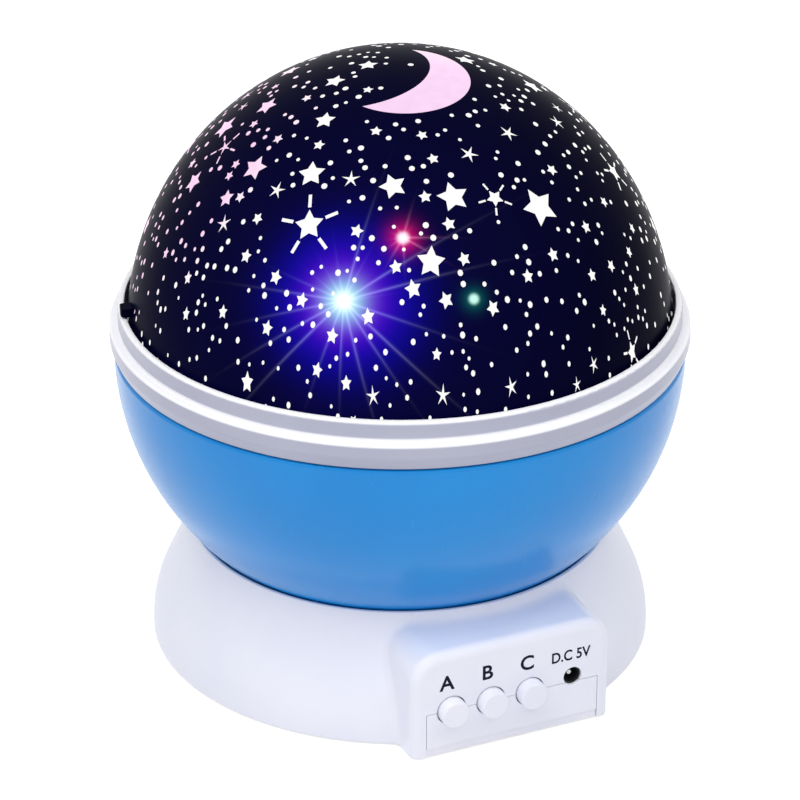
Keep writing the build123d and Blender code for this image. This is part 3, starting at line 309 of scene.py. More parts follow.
@dataclass(frozen=True)
class CircuitBoard:
    """Solder mask over copper tracks, with tinned pads."""

    mask: Colour
    track: Colour
    pad: Colour

    def build(self, name: str) -> bpy.types.Material:
        """Returns the finish's material under this name."""
        made, graph, shader = new_material(name)
        link = graph.tree.links.new
        place = graph.place()
        tracks = graph.node("TexBrick", {
            "Vector": place, "Scale": 420.0, "Mortar Size": 0.06, "Mortar Smooth": 0.1,
            "Brick Width": 1.7, "Row Height": 0.6}, offset=0.35).outputs["Fac"]
        cells = graph.node("TexVoronoi", {"Vector": place, "Scale": 260.0}).outputs["Distance"]
        pads = graph.ramp(cells, 0.1, 0.16, 1.0, 0.0)
        patchy = graph.ramp(graph.noise(220.0, 2.0), 0.45, 0.55)
        covered = graph.mix(graph.math("MULTIPLY", tracks, patchy), self.mask, self.track)
        link(graph.mix(pads, covered, self.pad), shader.inputs["Base Color"])
        link(graph.math("MULTIPLY", pads, 0.9), shader.inputs["Metallic"])
        link(graph.ramp(graph.noise(700.0), 0.3, 0.7, 0.25, 0.42), shader.inputs["Roughness"])
        raised = graph.math("MAXIMUM", tracks, pads)
        bump = graph.node("Bump", {"Strength": 0.5, "Distance": 0.00005, "Height": raised})
        link(bump.outputs[0], shader.inputs["Normal"])
        return made


@dataclass(frozen=True)
class CellSleeve:
    """A dry cell's printed sleeve, with bare metal at both ends."""

    sleeve: Colour
    band: Colour
    metal: Colour
    sleeve_end: float = 21.4 * MM
    band_from: float = 13.0 * MM

    def build(self, name: str) -> bpy.types.Material:
        """Returns the finish's material under this name."""
        made, graph, shader = new_material(name)
        link = graph.tree.links.new
        along = graph.node("SeparateXYZ", {0: graph.place()}).outputs[0]
        reach = graph.math("ABSOLUTE", along)
        bare = graph.math("GREATER_THAN", reach, self.sleeve_end)
        banded = graph.math("GREATER_THAN", along, self.band_from)
        worn = graph.ramp(graph.noise(500.0, 3.0), 0.35, 0.8, 0.0, 0.25)
        dark = graph.mix(worn, self.sleeve, (0.09, 0.09, 0.1, 1.0))
        printed = graph.mix(banded, dark, self.band)
        link(graph.mix(bare, printed, self.metal), shader.inputs["Base Color"])
        link(bare, shader.inputs["Metallic"])
        link(graph.ramp(graph.noise(900.0), 0.3, 0.7, 0.22, 0.36), shader.inputs["Roughness"])
        return made


@dataclass(frozen=True)
class Lens:
    """The cast body of a lamp diode, lit from its middle."""

    colour: Colour
    light: Colour
    strength: float = 3.0

    def build(self, name: str) -> bpy.types.Material:
        """Returns the finish's material under this name."""
        made, graph, shader = new_material(name)
        link = graph.tree.links.new
        haze_glow = graph.ramp(graph.noise(800.0, 2.0), 0.3, 0.7)
        link(graph.mix(haze_glow, self.colour, self.light), shader.inputs["Base Color"])
        link(graph.mix(haze_glow, self.light, (1.0, 1.0, 1.0, 1.0)), shader.inputs["Emission Color"])
        link(graph.ramp(graph.noise(1500.0), 0.3, 0.7, 0.08, 0.16), shader.inputs["Roughness"])
        shader.inputs["Emission Strength"].default_value = self.strength
        return made


@dataclass(frozen=True)
class Halo:
    """A soft round patch of painted light, which falls to a third at its reach in millimetres."""

    reach: float
    power: float
    colour: Colour


@dataclass(frozen=True)
class Fan:
    """Painted thin rays round a light. The length is in millimetres."""

    length: float
    count: float
    colour: Colour


@dataclass(frozen=True)
class Glow:
    """A painted glow on the printed dome, which stands in for the light of one lamp diode behind it."""

    heading: float
    tilt: float
    halos: tuple[Halo, ...]
    fan: Fan | None = None


@dataclass(frozen=True)
class Ellipsoid:
    """The dome's outer surface. Heading turns from +X, tilt leans from the top, both in degrees."""

    radius: float = 58.8 * MM
    rise: float = 62.2 * MM
    middle: float = 70.7 * MM

    def point(self, heading: float, tilt: float, lift: float = 0.0) -> Vector:
        """Finds a place on the dome.

        Args:
            heading: Degrees round the axis from +X.
            tilt: Degrees down from the top.
            lift: How far above the surface.

        Returns:
            The place, in the row frame.
        """
        around, down = math.radians(heading), math.radians(tilt)
        out = Vector((math.cos(around), math.sin(around), 0)) * math.sin(down)
        surface = out * self.radius + Vector((0, 0, self.rise * math.cos(down)))
        return Vector((0, 0, self.middle)) + surface * (1 + lift / surface.length)

    def axes(self, heading: float, tilt: float) -> tuple[Vector, Vector]:
        """Returns the directions to the east and to the top, along the surface there."""
        around = math.radians(heading)
        east = Vector((-math.sin(around), math.cos(around), 0))
        north = (self.point(heading, tilt - 0.5) - self.point(heading, tilt + 0.5)).normalized()
        return east, north

    def project(self, spot: Vector, lift: float) -> Vector:
        """Moves a place near the dome onto it.

        Args:
            spot: A place near the surface.
            lift: How far above the surface it ends.

        Returns:
            The place on the surface.
        """
        arm = spot - Vector((0, 0, self.middle))
        size = math.hypot(arm.x / self.radius, arm.y / self.radius, arm.z / self.rise)
        arm = arm / size
        return Vector((0, 0, self.middle)) + arm * (1 + lift / arm.length)


DOME = Ellipsoid()

HALO = Group(
    "painted_halo",
    (("Centre", "Vector", (0.0, 0.0, 0.0)), ("Reach", "Float", 4.0), ("Power", "Float", 2.0)),
    (("Mask", "Float"),))
FAN = Group(
    "painted_rays",
    (("Centre", "Vector", (0.0, 0.0, 0.0)), ("East", "Vector", (1.0, 0.0, 0.0)),
     ("North", "Vector", (0.0, 0.0, 1.0)), ("Length", "Float", 10.0), ("Count", "Float", 20.0)),
    (("Mask", "Float"),))


def fill_halo(graph: Graph, given: bpy.types.Node, result: bpy.types.Node) -> None:
    """Fills the painted halo group, which fades with the distance from its centre.

    Args:
        graph: The group's graph.
        given: Its input node.
        result: Its output node.
    """
    arm = graph.vector("SUBTRACT", graph.place(), given.outputs["Centre"])
    reach = graph.math("MULTIPLY", graph.vector("LENGTH", arm), 1 / MM)
    share = graph.math("DIVIDE", reach, given.outputs["Reach"])
    fade = graph.math("MULTIPLY", graph.math("POWER", share, given.outputs["Power"]), -1.0)
    graph.tree.links.new(graph.math("EXPONENT", fade), result.inputs["Mask"])


def fill_fan(graph: Graph, given: bpy.types.Node, result: bpy.types.Node) -> None:
    """Fills the painted rays group: thin rays of uneven lengths at uneven angles.

    Args:
        graph: The group's graph.
        given: Its input node.
        result: Its output node.
    """
    arm = graph.vector("SUBTRACT", graph.place(), given.outputs["Centre"])
    reach = graph.math("MULTIPLY", graph.vector("LENGTH", arm), 1 / MM)
    east = graph.vector("DOT_PRODUCT", arm, given.outputs["East"])
    north = graph.vector("DOT_PRODUCT", arm, given.outputs["North"])
    turn = graph.math("DIVIDE", graph.math("ARCTAN2", east, north), 2 * math.pi)
    spoke = graph.math("MULTIPLY", turn, given.outputs["Count"])
    cells = graph.node("TexVoronoi", {"W": spoke, "Scale": 1.0, "Randomness": 0.8},
                       voronoi_dimensions="1D")
    off_line = graph.math("DIVIDE", cells.outputs["Distance"], given.outputs["Count"])
    aside = graph.math("MULTIPLY", graph.math("MULTIPLY", off_line, 2 * math.pi), reach)
    thin = graph.math("EXPONENT", graph.math("MULTIPLY", graph.math("POWER", aside, 1.3), -7.0))
    chance = graph.node("SeparateColor", {0: cells.outputs["Color"]}).outputs[0]
    length = graph.math("MULTIPLY", given.outputs["Length"], graph.ramp(chance, 0.0, 1.0, 0.25, 1.0))
    share = graph.math("DIVIDE", reach, length)
    along = graph.math("EXPONENT", graph.math("MULTIPLY", graph.math("POWER", share, 1.5), -1.0))
    graph.tree.links.new(graph.math("MULTIPLY", thin, along), result.inputs["Mask"])


@dataclass(frozen=True)
class DomePrintPaintedGlow:
    """The dome's dark printed skin, with painted glows, halos and rays for the light of the lamp diodes behind
    it.
    """

    ink: Colour
    shade: Colour
    # A wide faint painted glow round the first diode's glow.
    haze_glow: Halo
    glows: tuple[Glow, ...]
    specular: float = 0.006

    def build(self, name: str) -> bpy.types.Material:
        """Returns the finish's material under this name."""
        made, graph, shader = new_material(name)
        link = graph.tree.links.new
        skin = use_group(graph, MOULDED.tree(fill_moulded), {
            "Colour": self.ink, "Shade": self.shade, "Roughness": 0.3, "Grain": 0.05})
        for source, target in (("Colour", "Base Color"), ("Roughness", "Roughness"), ("Normal", "Normal")):
            link(skin.outputs[source], shader.inputs[target])
        # Painted light: the diodes' glows, halos and rays are painted into the dome's emission.
        link(self.light(graph), shader.inputs["Emission Color"])
        shader.inputs["Emission Strength"].default_value = 1.0
        shader.inputs["Specular IOR Level"].default_value = self.specular
        return made

    def light(self, graph: Graph) -> bpy.types.NodeSocket:
        """Adds up the painted light in the skin: a wide painted glow, then each diode's painted halos and
        rays.

        Args:
            graph: The material's graph.

        Returns:
            The light's colour socket.
        """
        first = self.glows[0]
        total = self.halo(graph, tuple(DOME.point(first.heading, first.tilt)), self.haze_glow)
        for glow in self.glows:
            centre = tuple(DOME.point(glow.heading, glow.tilt))
            for halo in glow.halos:
                total = graph.vector("ADD", total, self.halo(graph, centre, halo))
            if glow.fan:
                total = graph.vector("ADD", total, self.rays(graph, glow, glow.fan))
        return total

    def rays(self, graph: Graph, glow: Glow, fan: Fan) -> bpy.types.NodeSocket:
        """Returns the painted light of a glow's rays."""
        east, north = DOME.axes(glow.heading, glow.tilt)
        spread = use_group(graph, FAN.tree(fill_fan), {
            "Centre": tuple(DOME.point(glow.heading, glow.tilt)), "East": tuple(east),
            "North": tuple(north), "Length": fan.length, "Count": fan.count})
        return self.tinted(graph, spread.outputs["Mask"], fan.colour)

    def halo(self, graph: Graph, centre: tuple[float, ...], halo: Halo) -> bpy.types.NodeSocket:
        """Returns the painted light of one halo round a centre."""
        spot = use_group(graph, HALO.tree(fill_halo),
                         {"Centre": centre, "Reach": halo.reach, "Power": halo.power})
        return self.tinted(graph, spot.outputs["Mask"], halo.colour)

    @staticmethod
    def tinted(graph: Graph, mask: bpy.types.NodeSocket, colour: Colour) -> bpy.types.NodeSocket:
        """Returns a colour scaled by a mask."""
        made = graph.node("VectorMath", {0: colour[:3], "Scale": mask}, operation="SCALE")
        return made.outputs["Vector"]


@dataclass(frozen=True)
class WindowLight:
    """A clear window in the print, painted as glowing with the diodes' light from inside, with a second
    painted light colour on one side of the dome.
    """

    main: Colour
    painted_side_light: Colour
    toward: tuple[float, float, float]
    start: float
    end: float

    def build(self, name: str) -> bpy.types.Material:
        """Returns the finish's material under this name."""
        made, graph, shader = new_material(name)
        link = graph.tree.links.new
        across = graph.vector("DOT_PRODUCT", graph.place(), self.toward)
        drift = graph.math("MULTIPLY", graph.math("SUBTRACT", graph.noise(90.0), 0.5), 0.012)
        share = graph.ramp(graph.math("ADD", across, drift), self.start, self.end)
        flat = graph.ramp(graph.noise(420.0, 2.0), 0.25, 0.75, 0.94, 1.0)
        # Painted light: the window's glow and its pinker side colour are painted emission.
        light = graph.vector("SCALE", graph.mix(share, self.main, self.painted_side_light))
        link(flat, light.node.inputs["Scale"])
        link(light, shader.inputs["Emission Color"])
        link(graph.mix(flat, (0.02, 0.02, 0.03, 1.0), (0.05, 0.05, 0.06, 1.0)), shader.inputs["Base Color"])
        shader.inputs["Emission Strength"].default_value = 1.0
        shader.inputs["Roughness"].default_value = 0.3
        shader.inputs["Specular IOR Level"].default_value = 0.1
        return made


WHITE = Plastic(srgb(241, 241, 251), srgb(235, 236, 248), 0.32, 0.08, 0.12)
# Painted shade and highlight: the rim is the base's white plastic, greyed as painted shade, with painted
# highlight bands at its two edges.
RIM_PAINTED_SHADE_AND_HIGHLIGHT = PaintedHighlightPlastic(
    Plastic(srgb(178, 180, 199), srgb(172, 174, 194), 0.3, 0.08, 0.15), srgb(250, 250, 255),
    heights=(79.5 * MM, 75.1 * MM), reach=0.9 * MM)
BLUE = Plastic(srgb(2, 142, 222), srgb(2, 136, 217), 0.24, 0.03, 0.12, 0.3)
SOFT_WHITE = Plastic(srgb(226, 226, 224), srgb(214, 214, 210), 0.5, 0.2)
ACETAL = Plastic(srgb(232, 229, 218), srgb(222, 219, 208), 0.38, 0.12)
BLACK = Plastic(srgb(26, 26, 28), srgb(36, 36, 39), 0.42, 0.2)
RUBBER = Plastic(srgb(44, 44, 46), srgb(58, 58, 60), 0.75, 0.5, 0.0, 0.25)
INK = Plastic(srgb(13, 14, 38), srgb(19, 20, 46), 0.6, 0.1, 0.0, 0.1)
STEEL = Metal(srgb(202, 202, 204), srgb(176, 172, 166), 0.28)
ALUMINIUM = Metal(srgb(214, 216, 220), srgb(188, 190, 196), 0.34)
# Painted light: the dome's glows, wide glow and rays are painted emission over the dark print.
NAVY_PRINT_PAINTED_GLOW = DomePrintPaintedGlow(
    ink=(0.0010, 0.0010, 0.006, 1.0), shade=(0.0014, 0.0014, 0.008, 1.0),
    haze_glow=Halo(46.0, 2.0, (0.0012, 0.0006, 0.034, 1.0)),
    glows=(
        Glow(233.0, 60.5,
             (Halo(2.1, 2.4, (0.66, 0.25, 0.35, 1.0)), Halo(3.9, 2.2, (0.0, 1.0, 0.2, 1.0)),
              Halo(6.0, 2.0, (0.36, 0.0, 0.0, 1.0)), Halo(12.8, 2.4, (0.004, 0.002, 0.7, 1.0))),
             Fan(15.0, 19.0, (0.24, 0.22, 0.42, 1.0))),
        Glow(246.5, 48.0,
             (Halo(1.25, 4.0, (0.2, 0.9, 0.8, 1.0)), Halo(2.3, 1.6, (0.93, 0.004, 0.12, 1.0))),
             Fan(4.5, 11.0, (0.45, 0.14, 0.26, 1.0))),
        Glow(262.5, 60.5,
             (Halo(1.05, 4.0, (0.6, 0.95, 0.8, 1.0)), Halo(1.6, 1.5, (0.0, 0.16, 0.11, 1.0))))))
# Painted light: the windows and the moon glow with painted emission, pinker on one side.
LIT = WindowLight(srgb(255, 254, 250), srgb(248, 208, 238), (-0.72, 0.33, 0.62), 0.092, 0.1)
MOONLIGHT = WindowLight(srgb(246, 208, 240), srgb(252, 226, 226), (0.6, 0.8, 0.0), 0.0, 0.013)

FINISHES: dict[str, object] = {
    "white_shell": WHITE, "rim_painted_shade_highlight": RIM_PAINTED_SHADE_AND_HIGHLIGHT, "blue_bowl": BLUE, "star_dome": NAVY_PRINT_PAINTED_GLOW,
    "inner_plastic": SOFT_WHITE, "acetal": ACETAL, "plated_steel": STEEL,
    "circuit_board": CircuitBoard(srgb(16, 96, 52), srgb(34, 128, 66), srgb(196, 190, 170)),
    "black_plastic": BLACK, "capacitor_can": ALUMINIUM, "rubber_foot": RUBBER,
    "battery": CellSleeve(srgb(20, 22, 26), srgb(196, 130, 62), srgb(208, 208, 210)),
    "lamp_wire": Plastic(srgb(224, 224, 220), srgb(206, 206, 200), 0.45, 0.15),
    "motor_wire": Plastic(srgb(196, 36, 32), srgb(168, 28, 26), 0.45, 0.15),
    "battery_wire": Plastic(srgb(30, 30, 32), srgb(44, 44, 46), 0.45, 0.15),
    "led_red": Lens(srgb(226, 60, 52), (1.0, 0.08, 0.05, 1.0)),
    "led_green": Lens(srgb(70, 210, 120), (0.05, 1.0, 0.25, 1.0)),
    "led_blue": Lens(srgb(70, 120, 240), (0.08, 0.25, 1.0, 1.0)),
    "led_white": Lens(srgb(240, 236, 214), (1.0, 0.9, 0.7, 1.0))}
# The rim ring takes the painted shade and highlight finish instead of its slot's.
NODE_FINISHES: dict[str, str] = {"rim_ring": "rim_painted_shade_highlight"}


def dress_frame() -> None:
    """Gives every CAD node the finish of its material slot, or the finish that NODE_FINISHES lists for it: the
    rim ring's painted shade and highlights.
    """
    made: dict[str, bpy.types.Material] = {}
    for part in frame["record"]["subparts"]:
        slot = NODE_FINISHES.get(part["node"], part["material_slot"])
        if slot not in made:
            made[slot] = FINISHES[slot].build(slot)
        target = frame["nodes"][part["node"]]
        for held in target.material_slots:
            held.material = made[slot]


# ---- Windows of the dome, painted as lit -------------------------------------------------
class Motif(Enum):
    """The shapes that are left clear in the print."""

    STAR = (5, 0.52)
    STARFISH = (5, 0.26)
    DOT = (9, 1.0)


@dataclass(frozen=True)
class Window:
    """One clear shape, placed on the dome. Its size is its outer radius in millimetres."""

    motif: Motif
    heading: float
    tilt: float
    size: float
    turn: float = 0.0
    dashes: int = 0

    def outline(self) -> list[tuple[float, float]]:
        """Returns the shape's corners in its own plane, anticlockwise, in metres."""
        points, inner = self.motif.value
        if self.motif is Motif.DOT:
            radii = [self.size] * points
        else:
            radii = [self.size, self.size * inner] * points
        corners = []
        for index, radius in enumerate(radii):
            angle = math.radians(self.turn + 90 + index * 360 / len(radii))
            corners.append((radius * MM * math.cos(angle), radius * MM * math.sin(angle)))
        return corners

    def rays(self) -> list[list[tuple[float, float]]]:
        """Returns the outlines of the separate dashes round a rayed star."""
        made = []
        for index in range(self.dashes):
            angle = math.radians(self.turn + 90 + index * 360 / 5)
            out = Vector((math.cos(angle), math.sin(angle)))
            side = Vector((-out.y, out.x))
            start, end = out * self.size * 1.15 * MM, out * self.size * 2.0 * MM
            half = side * self.size * 0.11 * MM
            made.append([tuple(end - half), tuple(end + half), tuple(start + half), tuple(start - half)])
        return made


@dataclass
class StarWindows:
    """All the clear shapes in the dome's print, as thin patches painted as lit, that follow its surface.

    The print is drawn out below a tilt: the shapes there are narrower and taller, by the shares
    given, once they are drawn_over degrees further down. Rooms are in millimetres.
    """

    lift: float = 0.03 * MM
    seed: int = 11
    most_tries: int = 40000
    lowest_tilt: float = 84.0
    drawn_from: float = 42.0
    drawn_over: float = 40.0
    narrower: float = 0.36
    taller: float = 0.1
    twin_turn: float = 178.0
    twin_gap: float = 0.8
    tab_place: tuple[float, float] = (166.4, 80.0)
    tab_room: float = 3.0
    glow_room: float = 1.2
    moon_steps: int = 60
    moon_strips: int = 8
    placed: list[Window] = field(default_factory=list)

    LARGE: ClassVar[tuple[Window, ...]] = (
        Window(Motif.STAR, 287.6, 46.2, 4.3, 8),
        Window(Motif.STAR, 262.0, 40.3, 3.4, 6),
        Window(Motif.STAR, 253.3, 52.8, 3.3, -8),
        Window(Motif.STAR, 215.2, 36.8, 3.0, 20),
        Window(Motif.STAR, 243.4, 37.4, 2.9, 22),
        Window(Motif.STAR, 220.6, 47.1, 3.3, 17, 5),
        Window(Motif.STAR, 274.8, 42.0, 1.9, 20, 5),
        Window(Motif.STAR, 193.5, 39.6, 3.0, 10),
        Window(Motif.STAR, 172.3, 49.5, 2.7, 5),
        Window(Motif.STAR, 160.7, 38.6, 3.1, 18),
        Window(Motif.STAR, 167.9, 28.7, 2.6, 30),
        Window(Motif.STAR, 206.4, 24.3, 2.3, 24),
        Window(Motif.STAR, 180.2, 14.6, 2.3, 40),
        Window(Motif.STAR, 165.9, 6.6, 2.2, 3),
        Window(Motif.STAR, 134.3, 25.1, 2.5, 18),
        Window(Motif.STAR, 156.8, 66.0, 2.4, 9),
        Window(Motif.STAR, 190.8, 47.5, 2.0, 31),
        Window(Motif.STAR, 327.8, 50.2, 2.4, -14, 5),
        Window(Motif.STAR, 301.5, 80.0, 2.3, 10, 5),
        Window(Motif.STAR, 213.3, 79.0, 2.2, 6),
        Window(Motif.STAR, 248.7, 57.8, 2.0, 12))
    STARFISH: ClassVar[tuple[Window, ...]] = (
        Window(Motif.STARFISH, 172.8, 40.2, 2.1, 0, 5),
        Window(Motif.STARFISH, 229.3, 36.5, 2.0, 9),
        Window(Motif.STARFISH, 206.4, 42.0, 2.0, 5),
        Window(Motif.STARFISH, 194.9, 52.0, 2.1, 28),
        Window(Motif.STARFISH, 272.6, 31.7, 2.1, 33),
        Window(Motif.STARFISH, 294.9, 29.8, 2.1, 11),
        Window(Motif.STARFISH, 324.1, 34.5, 2.0, 24),
        Window(Motif.STARFISH, 336.1, 34.0, 1.6, 40),
        Window(Motif.STARFISH, 240.3, 77.9, 2.1, 8),
        Window(Motif.STARFISH, 254.3, 77.9, 2.3, -6),
        Window(Motif.STARFISH, 268.6, 78.0, 2.1, 10),
        Window(Motif.STARFISH, 289.0, 78.4, 1.9, 17),
        Window(Motif.STARFISH, 284.0, 81.0, 1.7, 2))
    SMALL_STARS: ClassVar[tuple[tuple[float, float, float], ...]] = (
        (253.4, 39.8, 1.4), (258.2, 31.6, 1.3), (255.8, 25.7, 1.25), (307.9, 24.6, 1.4),
        (299.9, 40.6, 1.4), (311.5, 51.7, 1.25), (299.2, 53.5, 1.4), (317.4, 59.8, 1.25),
        (259.2, 45.7, 1.5), (261.6, 52.8, 1.5), (276.7, 58.2, 1.5), (285.3, 55.7, 1.5),
        (294.5, 62.2, 1.4), (301.8, 62.5, 1.4), (310.8, 62.6, 1.3), (308.0, 69.6, 1.4),
        (256.1, 60.2, 1.8), (266.6, 62.7, 1.7), (244.7, 53.6, 1.5), (238.7, 63.1, 1.75),
        (231.2, 67.2, 1.65), (234.1, 47.0, 1.5), (206.0, 56.0, 1.5), (215.7, 58.2, 1.6),
        (223.3, 61.4, 1.6), (216.3, 67.9, 1.65), (228.6, 73.9, 1.6), (234.8, 75.8, 1.6),
        (234.3, 24.7, 1.3), (174.3, 32.8, 1.2), (192.9, 32.2, 1.25), (212.0, 30.3, 1.3),
        (182.6, 21.5, 1.2), (184.8, 41.0, 1.2), (185.9, 43.6, 1.2), (195.3, 46.0, 1.3),
        (190.8, 64.6, 1.45), (178.6, 63.6, 1.3), (193.7, 71.0, 1.45), (204.3, 67.5, 1.5))
    MOON_OUTER: ClassVar[tuple[float, float, float]] = (-1.8, -5.7, 13.7)
    MOON_INNER: ClassVar[tuple[float, float, float]] = (-8.75, 1.65, 14.75)

    def build(self) -> None:
        """Lays out the shapes, makes their meshes and lets them ride on the dome."""
        self.lay_out()
        light = LIT.build("window_light")
        stars = [window for window in self.placed if window.motif is not Motif.DOT]
        dots = [window for window in self.placed if window.motif is Motif.DOT]
        for name, windows in (("window_stars", stars), ("window_dots", dots)):
            mesh = bmesh.new()
            for window in windows:
                self.add_window(mesh, window)
            add_piece(name, mesh, light, "dome")
        add_piece("window_moon", self.moon(), MOONLIGHT.build("moon_light"), "dome")
        LOG.info("windows: %d stars, %d dots and a moon", len(stars), len(dots))

    def lay_out(self) -> None:
        """Places the large shapes, then scatters small stars and dots in the space between."""
        chance = random.Random(self.seed)
        front = list(self.LARGE + self.STARFISH)
        front += [Window(Motif.STAR, *spot, chance.uniform(-12, 22)) for spot in self.SMALL_STARS]
        taken = [(DOME.point(*self.tab_place), self.tab_room)]
        taken += [(DOME.point(glow.heading, glow.tilt), self.glow_room) for glow in NAVY_PRINT_PAINTED_GLOW.glows]
        for window in front:
            self.keep(window, taken)
        for window in front:
            twin = replace(window, heading=(window.heading + self.twin_turn) % 360)
            if self.is_clear(twin, self.twin_gap, taken):
                self.keep(twin, taken)
        self.scatter(chance, Motif.STAR, 16, (1.0, 1.4), 2.5, taken)
        self.scatter(chance, Motif.DOT, 860, (0.4, 0.68), 0.8, taken)

    def keep(self, window: Window, taken: list[tuple[Vector, float]]) -> None:
        """Places a shape and marks its room as taken."""
        self.placed.append(window)
        room = window.size * (1.9 if window.dashes else 0.95)
        taken.append((DOME.point(window.heading, window.tilt), room))

    def is_clear(self, window: Window, gap: float, taken: list[tuple[Vector, float]]) -> bool:
        """Returns True if a shape touches neither the moon nor what is placed."""
        if self.in_moon(window.heading, window.tilt, window.size):
            return False
        spot = DOME.point(window.heading, window.tilt)
        room = window.size * (1.9 if window.dashes else 0.95)
        return all((spot - other).length > (room + radius + gap) * MM for other, radius in taken)

    def scatter(self, chance: random.Random, motif: Motif, count: int, sizes: tuple[float, float],
                gap: float, taken: list[tuple[Vector, float]]) -> None:
        """Places shapes of one kind at random, clear of what is there.

        Args:
            chance: The seeded generator.
            motif: The kind of shape.
            count: How many to place.
            sizes: The smallest and largest size, in millimetres.
            gap: The least space between shapes, in millimetres.
            taken: The places and sizes so far, which grows.
        """
        lowest = math.cos(math.radians(self.lowest_tilt))
        tries = 0
        while count and tries < self.most_tries:
            tries += 1
            tilt = math.degrees(math.acos(1 - chance.random() * (1 - lowest)))
            heading, size, turn = chance.uniform(0, 360), chance.uniform(*sizes), chance.uniform(0, 72)
            window = Window(motif, heading, tilt, size, turn)
            if self.is_clear(window, gap, taken):
                self.keep(window, taken)
                count -= 1

    def in_moon(self, heading: float, tilt: float, size: float) -> bool:
        """Returns True if a shape there would touch the moon."""
        x = tilt * math.cos(math.radians(heading))
        y = tilt * math.sin(math.radians(heading))
        clear = size + 1.2
        in_outer = math.hypot(x - self.MOON_OUTER[0], y - self.MOON_OUTER[1]) < self.MOON_OUTER[2] + clear
        in_inner = math.hypot(x - self.MOON_INNER[0], y - self.MOON_INNER[1]) < self.MOON_INNER[2] - clear
        return in_outer and not in_inner

    def add_window(self, mesh: bmesh.types.BMesh, window: Window) -> None:
        """Adds one shape's patch, and its dashes, to a mesh."""
        east, north = DOME.axes(window.heading, window.tilt)
        middle = DOME.point(window.heading, window.tilt)
        drawn = min(max((window.tilt - self.drawn_from) / self.drawn_over, 0), 1)
        wide, tall = 1 - self.narrower * drawn, 1 + self.taller * drawn

        def place(along: float, up: float) -> Vector:
            """Returns the place on the dome for one in the shape's plane."""
            return DOME.project(middle + east * along * wide + north * up * tall, self.lift)
        rings = 1 if window.motif is Motif.DOT else max(2, round(window.size / 0.9))
        self.add_patch(mesh, window.outline(), place, rings)
        for outline in window.rays():
            self.add_patch(mesh, outline, place, 2)

    @staticmethod
    def add_patch(mesh: bmesh.types.BMesh, outline: list[tuple[float, float]], place: Place,
                  rings: int) -> None:
        """Adds a filled outline made of shrunken copies of itself.

        Args:
            mesh: The mesh that grows.
            outline: The corners, anticlockwise.
            place: Puts a corner on the dome.
            rings: How many copies there are from the middle to the edge.
        """
        middle_x = sum(corner[0] for corner in outline) / len(outline)
        middle_y = sum(corner[1] for corner in outline) / len(outline)
        centre = mesh.verts.new(place(middle_x, middle_y))
        last = None
        for ring in range(1, rings + 1):
            share = ring / rings
            spots = [(middle_x + (x - middle_x) * share, middle_y + (y - middle_y) * share)
                     for x, y in outline]
            loop = [mesh.verts.new(place(*spot)) for spot in spots]
            for index, corner in enumerate(loop):
                following = loop[(index + 1) % len(loop)]
                if last is None:
                    mesh.faces.new((centre, corner, following))
                else:
                    mesh.faces.new((last[index], corner, following, last[(index + 1) % len(loop)]))
            last = loop

    def moon(self) -> bmesh.types.BMesh:
        """Returns the crescent, a strip between two arcs round the top of the dome."""
        mesh = bmesh.new()
        ox, oy, outer = self.MOON_OUTER
        ix, iy, inner = self.MOON_INNER
        gap = math.hypot(ix - ox, iy - oy)
        facing = math.atan2(oy - iy, ox - ix)
        outer_half = math.pi - math.acos((gap ** 2 + outer ** 2 - inner ** 2) / (2 * gap * outer))
        inner_half = math.acos((gap ** 2 + inner ** 2 - outer ** 2) / (2 * gap * inner))
        rows = []
        for step in range(self.moon_steps + 1):
            share = 2 * step / self.moon_steps - 1
            far = facing + share * outer_half
            near = facing + share * inner_half
            start = Vector((ix + inner * math.cos(near), iy + inner * math.sin(near)))
            end = Vector((ox + outer * math.cos(far), oy + outer * math.sin(far)))
            row = []
            for across in range(self.moon_strips + 1):
                spot = start.lerp(end, across / self.moon_strips)
                heading = math.degrees(math.atan2(spot.y, spot.x))
                row.append(mesh.verts.new(DOME.point(heading, spot.length, self.lift)))
            rows.append(row)
        for first, second in zip(rows, rows[1:]):
            for across in range(self.moon_strips):
                mesh.faces.new((first[across], first[across + 1], second[across + 1], second[across]))
        bmesh.ops.remove_doubles(mesh, verts=mesh.verts, dist=0.002 * MM)
        return mesh


def add_piece(name: str, mesh: bmesh.types.BMesh, material: bpy.types.Material, body: str) -> bpy.types.Object:
    """Makes a piece that rides on a CAD body.

    Args:
        name: The piece's name.
        mesh: Its mesh in the row frame, which is freed.
        material: Its material.
        body: The body it rides on.

    Returns:
        The new object.
    """
    data = bpy.data.meshes.new(name)
    mesh.normal_update()
    mesh.to_mesh(data)
    mesh.free()
    data.materials.append(material)
    data.shade_smooth()
    made = bpy.data.objects.new(name, data)
    bpy.context.scene.collection.objects.link(made)
    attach(made, body)
    return made


# ---- Lettering on the control panel ------------------------------------------------------
@dataclass(frozen=True)
class Marking:
    """One printed marking on the panel: its words, its middle, its foot and its height."""

    name: str
    words: str
    middle: float
    foot: float
    height: float
    stretch: float = 1.0


